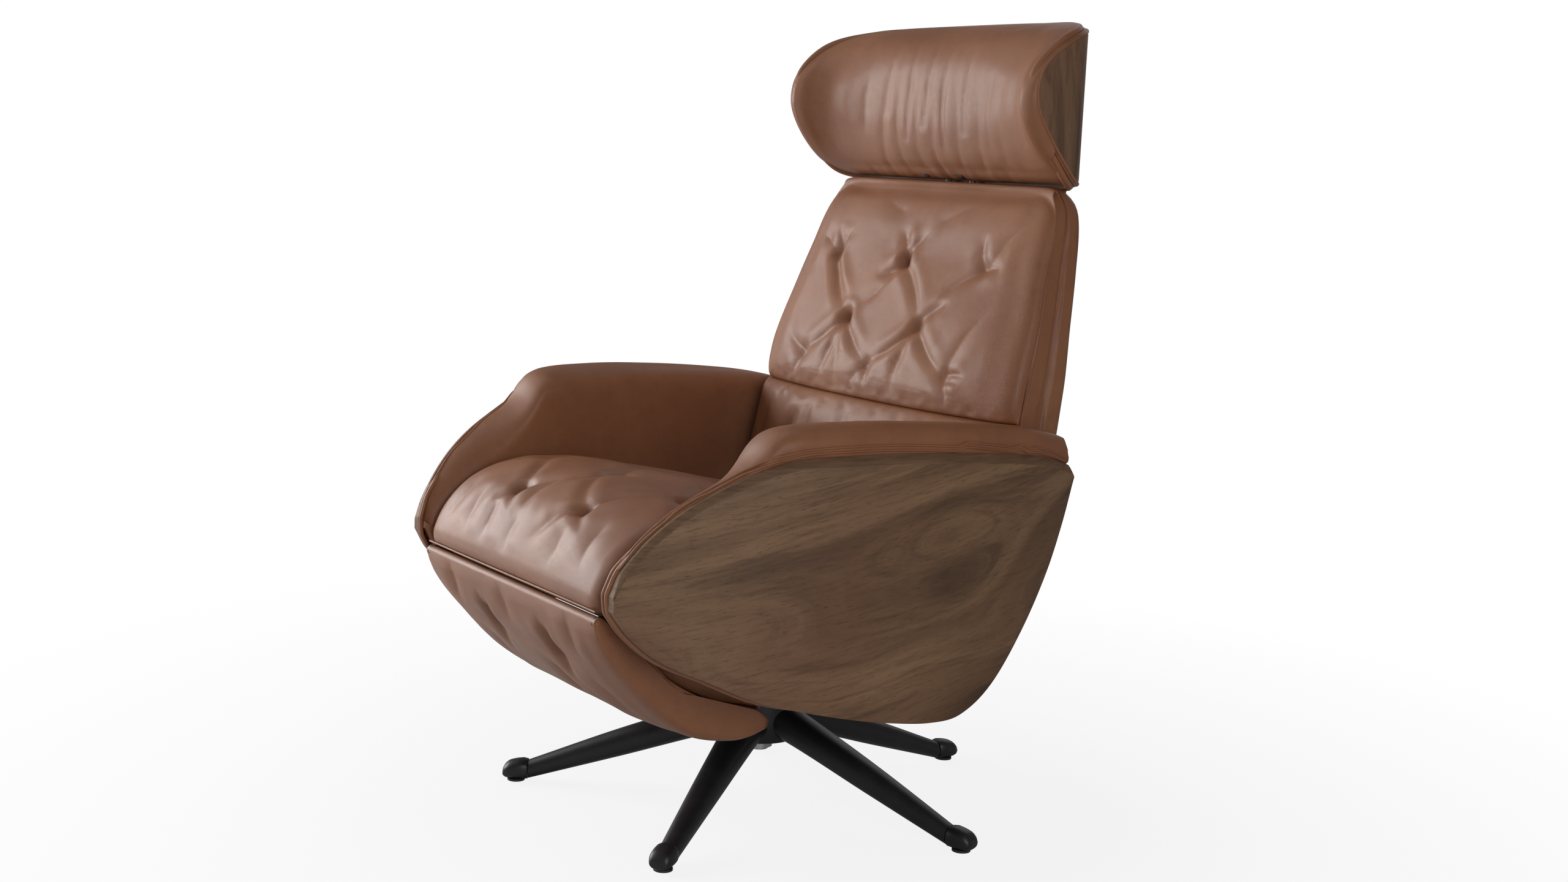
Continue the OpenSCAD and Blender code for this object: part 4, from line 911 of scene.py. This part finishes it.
inside = [-wingX * math.sin(t) for t in np.linspace(-math.pi / 2, math.pi / 2, 170)][::-1]
outside = wingX + 10.4 * np.sin(np.linspace(0.12, math.pi / 2, 12))
headSteps = [*-outside[::-1], *sorted(inside), *outside]
headPiece = loft("headrestLeather", [headRing(-x) for x in headSteps], leather)
swell(headPiece, 3.5, lambda p: (1 - smoothStep(p[:, 1], 296, 320))
      * (1 - smoothStep(np.abs(p[:, 0]), 190, 240)) * smoothStep(p[:, 2], 915, 940), voxel=0.008)
points, normals = readSurface(headPiece)
x, y, z = points.T
facing = smoothStep(-normals[:, 1], 0.02, 0.4) * (1 - smoothStep(np.abs(x), 175, 222))
wrinkles = [
    (-150, 985, -138, 1085, 8.8, 1.12, 3), (-118, 925, -104, 1078, 7.5, 1.61, -5),
    (-96, 1010, -88, 1112, 6.2, 1.49, 3), (-74, 918, -66, 1060, 7.5, 1.74, 4),
    (-52, 970, -44, 1122, 6.2, 1.74, -4), (-30, 925, -20, 1050, 7.5, 1.61, 4),
    (-10, 990, 2, 1124, 6.2, 1.61, -3), (8, 918, 16, 1030, 7.5, 1.61, 3), (34, 955, 44, 1120, 6.2, 1.86, 5),
    (62, 920, 66, 1070, 7.5, 1.61, -4), (84, 980, 96, 1118, 6.2, 1.49, 4),
    (112, 925, 118, 1052, 8.8, 1.49, -3), (140, 960, 150, 1090, 8.8, 1.24, 4),
    (168, 930, 174, 1040, 10, 0.99, 3)]
crease = foldLines(x, z, wrinkles)
gather = 0.8 * np.sin(x / 6.7 + 2 * np.sin(x / 40)) + 0.5 * np.sin(x / 3.9)
gather = gather * np.exp(-((z - 918) / 10) ** 2) * facing
waist = 2.4 * np.exp(-((z - 926) / 5) ** 2) * smoothStep(-normals[:, 1], 0.1, 0.5)
writePoints(headPiece, points - normals * (crease * facing + gather + waist * 0.4)[:, None])
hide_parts("headrest_cushion")
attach(headPiece, "headrest")


def shellRing(s):
    px, py, nx, ny = plan(s)
    hi, lo, o = curve(shellHigh, py), curve(shellLow, py), head["shell"]
    outline = [
        (0, lo + 1), (1, lo), (o - 4, lo), (o - 1.6, lo + 1), (o - 0.3, lo + 3), (o, lo + 5),
        *[(o, lo + 5 + (hi - lo - 10) * k / 16) for k in range(1, 17)], (o - 0.3, hi - 3), (o - 1.6, hi - 1),
        (o - 4, hi), (1, hi), (0, hi - 1)]
    return [(px + nx * d, py + ny * d, z) for d, z in outline]


shellSteps = np.array([t * (1 + 0.22 * (1 - t * t)) for t in np.linspace(-1, 1, 161)])
shellPiece = loft("headrestShell", [shellRing(-s) for s in shellLong * shellSteps], walnutUp)
shellPiece.data.set_sharp_from_angle(angle=math.radians(38))
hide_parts("headrest_shell")
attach(shellPiece, "headrest")
print("headrest made")


# Welts and piping
def tube(line, radius, closed, turns=9):
    line = np.array(line, float)
    n = len(line)
    along = (np.roll(line, -1, 0) - np.roll(line, 1, 0)) if closed else np.gradient(line, axis=0)
    along /= np.linalg.norm(along, axis=1)[:, None]
    angles = np.linspace(0, 2 * math.pi, turns, endpoint=False)
    side = np.cross(along[0], [0.31, 0.52, 0.79])
    verts = []
    for p, t in zip(line, along):
        side = side - t * np.dot(side, t)
        side /= np.linalg.norm(side)
        up = np.cross(t, side)
        verts += [p + radius * (side * math.cos(g) + up * math.sin(g)) for g in angles]
    faces = []
    for i in range(n if closed else n - 1):
        here, after = i * turns, (i + 1) % n * turns
        faces += [(here + j, here + (j + 1) % turns, after + (j + 1) % turns, after + j)
                  for j in range(turns)]
    if not closed:
        faces += [tuple(range(turns)), tuple((n - 1) * turns + j for j in range(turns))]
    return verts, faces


def makeTubes(name, lines, material, body):
    verts, faces = [], []
    for line, radius, closed in lines:
        v, f = tube(line, radius, closed)
        faces += [tuple(k + len(verts) for k in face) for face in f]
        verts += v
    piece = makeObject(name, verts, faces, material)
    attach(piece, body)
    return piece


def shellEdge(out, lift):      # loop along the edge of the headrest's wood
    ends = np.linspace(-shellLong, shellLong, 400)
    loop = [(s, curve(shellHigh, plan(s)[1])) for s in ends]
    loop += [(s, curve(shellLow, plan(s)[1])) for s in ends[::-1]]
    loop = resample(loop + loop[:1], 901)[:-1]
    for _ in range(12):
        loop = 0.25 * np.roll(loop, 1, 0) + 0.5 * loop + 0.25 * np.roll(loop, -1, 0)
    along = np.roll(loop, -1, 0) - np.roll(loop, 1, 0)
    along /= np.linalg.norm(along, axis=1)[:, None]
    loop = loop + np.stack([-along[:, 1], along[:, 0]], 1) * lift
    spots = [(plan(s), z) for s, z in loop]
    return [(p[0] + p[2] * out, p[1] + p[3] * out, z) for p, z in spots]


makeTubes("headrestWelts", [(shellEdge(-1.0, 2.6), 6.4, True), (shellEdge(7.0, 1.0), 2.5, True),
                            (shellEdge(10.6, 0.2), 2.3, True)], leather, "headrest")
seatFrontSeam = [(x, -421.4 - 0.2 * math.cos(x / 60), 365.7 + 0.2 * math.sin(x / 90))
                 for x in np.linspace(-242, 242, 200)]
makeTubes("seatPiping", [(seatFrontSeam, 1.5, False)], leather, "seat")


def armEdge(sign, away):      # line on an arm's leather, away mm over the surface from the wood's edge
    line = []
    for y in np.linspace(-413, 264, 260):
        ring = np.array(armRing(y))[:60]
        start = np.argmax(ring[:, 2] > curve(panelHigh, y) + 0.8)
        run = lengthsAlong(ring[start:])
        line.append([np.interp(away, run, ring[start:, k]) for k in range(3)])
    return [(sign * x, y, z) for x, y, z in soften(line, 10)]


def frontEdge(sign, inset, lift):      # line round the front and the underside of a side panel
    top = [(y, curve(panelHigh, y)) for y in np.linspace(-360, -front, 50)]
    low = [(y, curve(panelLow, y)) for y in np.linspace(-front, -130, 130)]
    line = soften(resample(top + low[1:], 240), 3)
    place = np.linspace(0, 1, len(line))
    rise = (lift + 5) * smoothStep(place, 0, 0.2) * (1 - smoothStep(place, 0.8, 1)) - 5
    line = line + beside(line) * rise[:, None]
    return [(sign * (widthAt(y) - sides["armOut"] - inset), y, z) for y, z in line]


for side, sign in (("right", 1), ("left", -1)):      # double welt where the arm's leather meets the wood
    lines = [(armEdge(sign, 1.0), 1.7, False), (armEdge(sign, 7.5), 1.6, False),
             (frontEdge(sign, 3.2, 0.6), 3.2, False), (frontEdge(sign, 9.0, 1.6), 3.0, False)]
    makeTubes(side + "ArmWelts", lines, leather, "chassis")
for side, sign in (("right", 1), ("left", -1)):      # welt between the back cushions and the rear cover
    line = [(sign * (backHalf(z) - 0.7), boardFront(z) - 1, z) for z in np.linspace(412, 893, 150)]
    makeTubes(side + "BackWelt", [(line, 1.2, False)], leather, "back")

# Star base
star = {
    "legs": 5, "reach": 340,
    "wide": [(24, 62), (60, 57), (204, 42), (339, 29)],
    "under": [(24, 94), (60, 90), (204, 45), (339, 4)],
    "over": [(24, 149), (60, 138), (204, 86), (339, 31)]}
footCap = {
    "wide": [(0, 30), (8, 33.5), (27, 32.5), (34, 28), (37, 23)],
    "high": [(0, 31.5), (8, 33), (27, 29), (34, 24), (37, 19)],
    "under": [(0, 3), (27, 3), (34, 4.5), (37, 7)]}


def legRing(r, wide, low, high, power, turn):
    ring = []
    for g in np.linspace(0, 2 * math.pi, 40, endpoint=False):
        c, s = math.cos(g), math.sin(g)
        across = wide / 2 * math.copysign(abs(c) ** power, c)
        z = (low + high) / 2 + (high - low) / 2 * math.copysign(abs(s) ** power, s)
        ring.append((r * math.sin(turn) + across * math.cos(turn),
                     -r * math.cos(turn) + across * math.sin(turn), z))
    return ring


def joined(name, groups, material):      # one mesh from several stacks of rings
    pieces = [loft(name, rings, material) for rings in groups]
    mesh = bmesh.new()
    for piece in pieces:
        mesh.from_mesh(piece.data)
    mesh.to_mesh(pieces[0].data)
    mesh.free()
    for piece in pieces[1:]:
        bpy.data.objects.remove(piece)
    pieces[0].data.shade_smooth()
    pieces[0].data.set_sharp_from_angle(angle=math.radians(50))
    return pieces[0]


turns = [2 * math.pi * (k + 0.5) / star["legs"] for k in range(star["legs"])]
legSteps = np.linspace(24, 339, 60)
stacks = [[legRing(r, *(curve(star[key], r) for key in ("wide", "under", "over")), 0.86, turn)
           for r in legSteps] for turn in turns]
hubLine = [
    (20, 88), (50, 88), (54, 89), (56, 92), (56, 120), (56, 152), (55, 156), (52, 159), (48, 160), (20, 160)]
around = np.linspace(0, 2 * math.pi, 96, endpoint=False)
stacks.append([[(r * math.cos(g), r * math.sin(g), z) for g in around] for r, z in hubLine])
basePiece = joined("starBase", stacks, blackMetal)
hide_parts("star_base")
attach(basePiece, "base")
capSteps = [0.5, 2, 8, 16, 22, 27, 30, 32.5, 34.5, 36, 37]
stacks = [[legRing(star["reach"] + d, curve(footCap["wide"], d) * (0.97 if d < 1 else 1),
                   curve(footCap["under"], d), curve(footCap["high"], d), 0.8, turn) for d in capSteps]
          for turn in turns]
capPiece = joined("footCaps", stacks, blackMetal)
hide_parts("foot_caps")
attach(capPiece, "base")
print("welts and base made")


# Floor, light and camera
def seenDirectly(graph):      # 1 for rays that should find the white studio
    rays = graph.tree.nodes.new("ShaderNodeLightPath")
    seen = [Value(graph, rays.outputs[name]) for name in ("Is Camera Ray", "Is Transmission Ray")]
    return (seen[0] + seen[1]).smallest(1.0)


def makeFloor(name, colour):      # pale, with a soft shadow near the chair that fades to white
    g = Graph(name, colour, Roughness=0.75)
    away = g.node("ShaderNodeVectorMath", {"operation": "LENGTH"}, g.coords(), out=1)
    share = seenDirectly(g) * (0.86 + g.fade(away, 0.5, 1.6) * 0.14)
    white = g.tree.nodes.new("ShaderNodeEmission")
    mixer = g.tree.nodes.new("ShaderNodeMixShader")
    output = g.tree.nodes["Material Output"]
    g.tree.links.new(share.socket, mixer.inputs[0])
    g.tree.links.new(g.surface.outputs[0], mixer.inputs[1])
    g.tree.links.new(white.outputs[0], mixer.inputs[2])
    g.tree.links.new(mixer.outputs[0], output.inputs[0])
    return g.material


floorLook = {"half": 40.0, "colour": (0.62, 0.62, 0.625)}
floorMesh = bpy.data.meshes.new("floorPlane")
h = floorLook["half"]
floorMesh.from_pydata([(-h, -h, 0), (h, -h, 0), (h, h, 0), (-h, h, 0)], [], [(0, 1, 2, 3)])
floorPiece = bpy.data.objects.new("floorPlane", floorMesh)
bpy.context.scene.collection.objects.link(floorPiece)
floorMesh.materials.append(makeFloor("paleFloor", floorLook["colour"]))


def addLight(name, place, target, size, power, colour=(1, 1, 1)):
    data = bpy.data.lights.new(name, "AREA")
    data.shape, data.size, data.size_y = "RECTANGLE", size[0], size[1]
    data.energy, data.color = power, colour
    lamp = bpy.data.objects.new(name, data)
    bpy.context.scene.collection.objects.link(lamp)
    lamp.location = place
    lamp.rotation_euler = (Vector(target) - Vector(place)).to_track_quat("-Z", "Y").to_euler()
    return lamp


lights = [addLight("keyLight", (-2.5, -1.8, 1.3), (0, 0, 0.62), (2.4, 1.5), 106),
          addLight("fillLight", (3.4, -0.9, 1.5), (0, 0, 0.5), (2.0, 2.0), 48),
          addLight("topLight", (-0.6, -0.4, 3.4), (0, 0, 0.4), (1.8, 1.8), 12),
          addLight("rearLight", (-1.8, 2.8, 2.0), (0, 0, 0.7), (2.0, 2.0), 10)]


class WorldGraph(Graph):
    def __init__(self, world):
        world.use_nodes = True
        self.tree = world.node_tree


world = bpy.data.worlds.new("studio")
sky = WorldGraph(world)
dim, bright = sky.tree.nodes["Background"], sky.tree.nodes.new("ShaderNodeBackground")
dim.inputs["Color"].default_value = bright.inputs["Color"].default_value = (1, 1, 1, 1)
dim.inputs["Strength"].default_value, bright.inputs["Strength"].default_value = 0.15, 1.0
mixer = sky.tree.nodes.new("ShaderNodeMixShader")
sky.tree.links.new(seenDirectly(sky).socket, mixer.inputs[0])
sky.tree.links.new(dim.outputs[0], mixer.inputs[1])
sky.tree.links.new(bright.outputs[0], mixer.inputs[2])
sky.tree.links.new(mixer.outputs[0], sky.tree.nodes["World Output"].inputs[0])
bpy.context.scene.world = world

cameraLook = {"place": (2.3021, -1.5977, 0.932), "azimuth": 54.88, "down": 8.23, "roll": 2.59, "lens": 44.93}
data = bpy.data.cameras.new("photoView")
data.lens, data.sensor_width = cameraLook["lens"], 36
camera = bpy.data.objects.new("photoView", data)
bpy.context.scene.collection.objects.link(camera)
azimuth, down, roll = (math.radians(cameraLook[k]) for k in ("azimuth", "down", "roll"))
ahead = Vector((-math.sin(azimuth) * math.cos(down), math.cos(azimuth) * math.cos(down), -math.sin(down)))
right = Vector((math.cos(azimuth), math.sin(azimuth), 0))
above = right.cross(ahead)
right, above = (right * math.cos(roll) + above * math.sin(roll),
                above * math.cos(roll) - right * math.sin(roll))
camera.matrix_world = Matrix((right, above, -ahead)).transposed().to_4x4()
camera.location = cameraLook["place"]
bpy.context.scene.camera = camera
bpy.context.scene.view_settings.view_transform = "Standard"

print("scene ready")
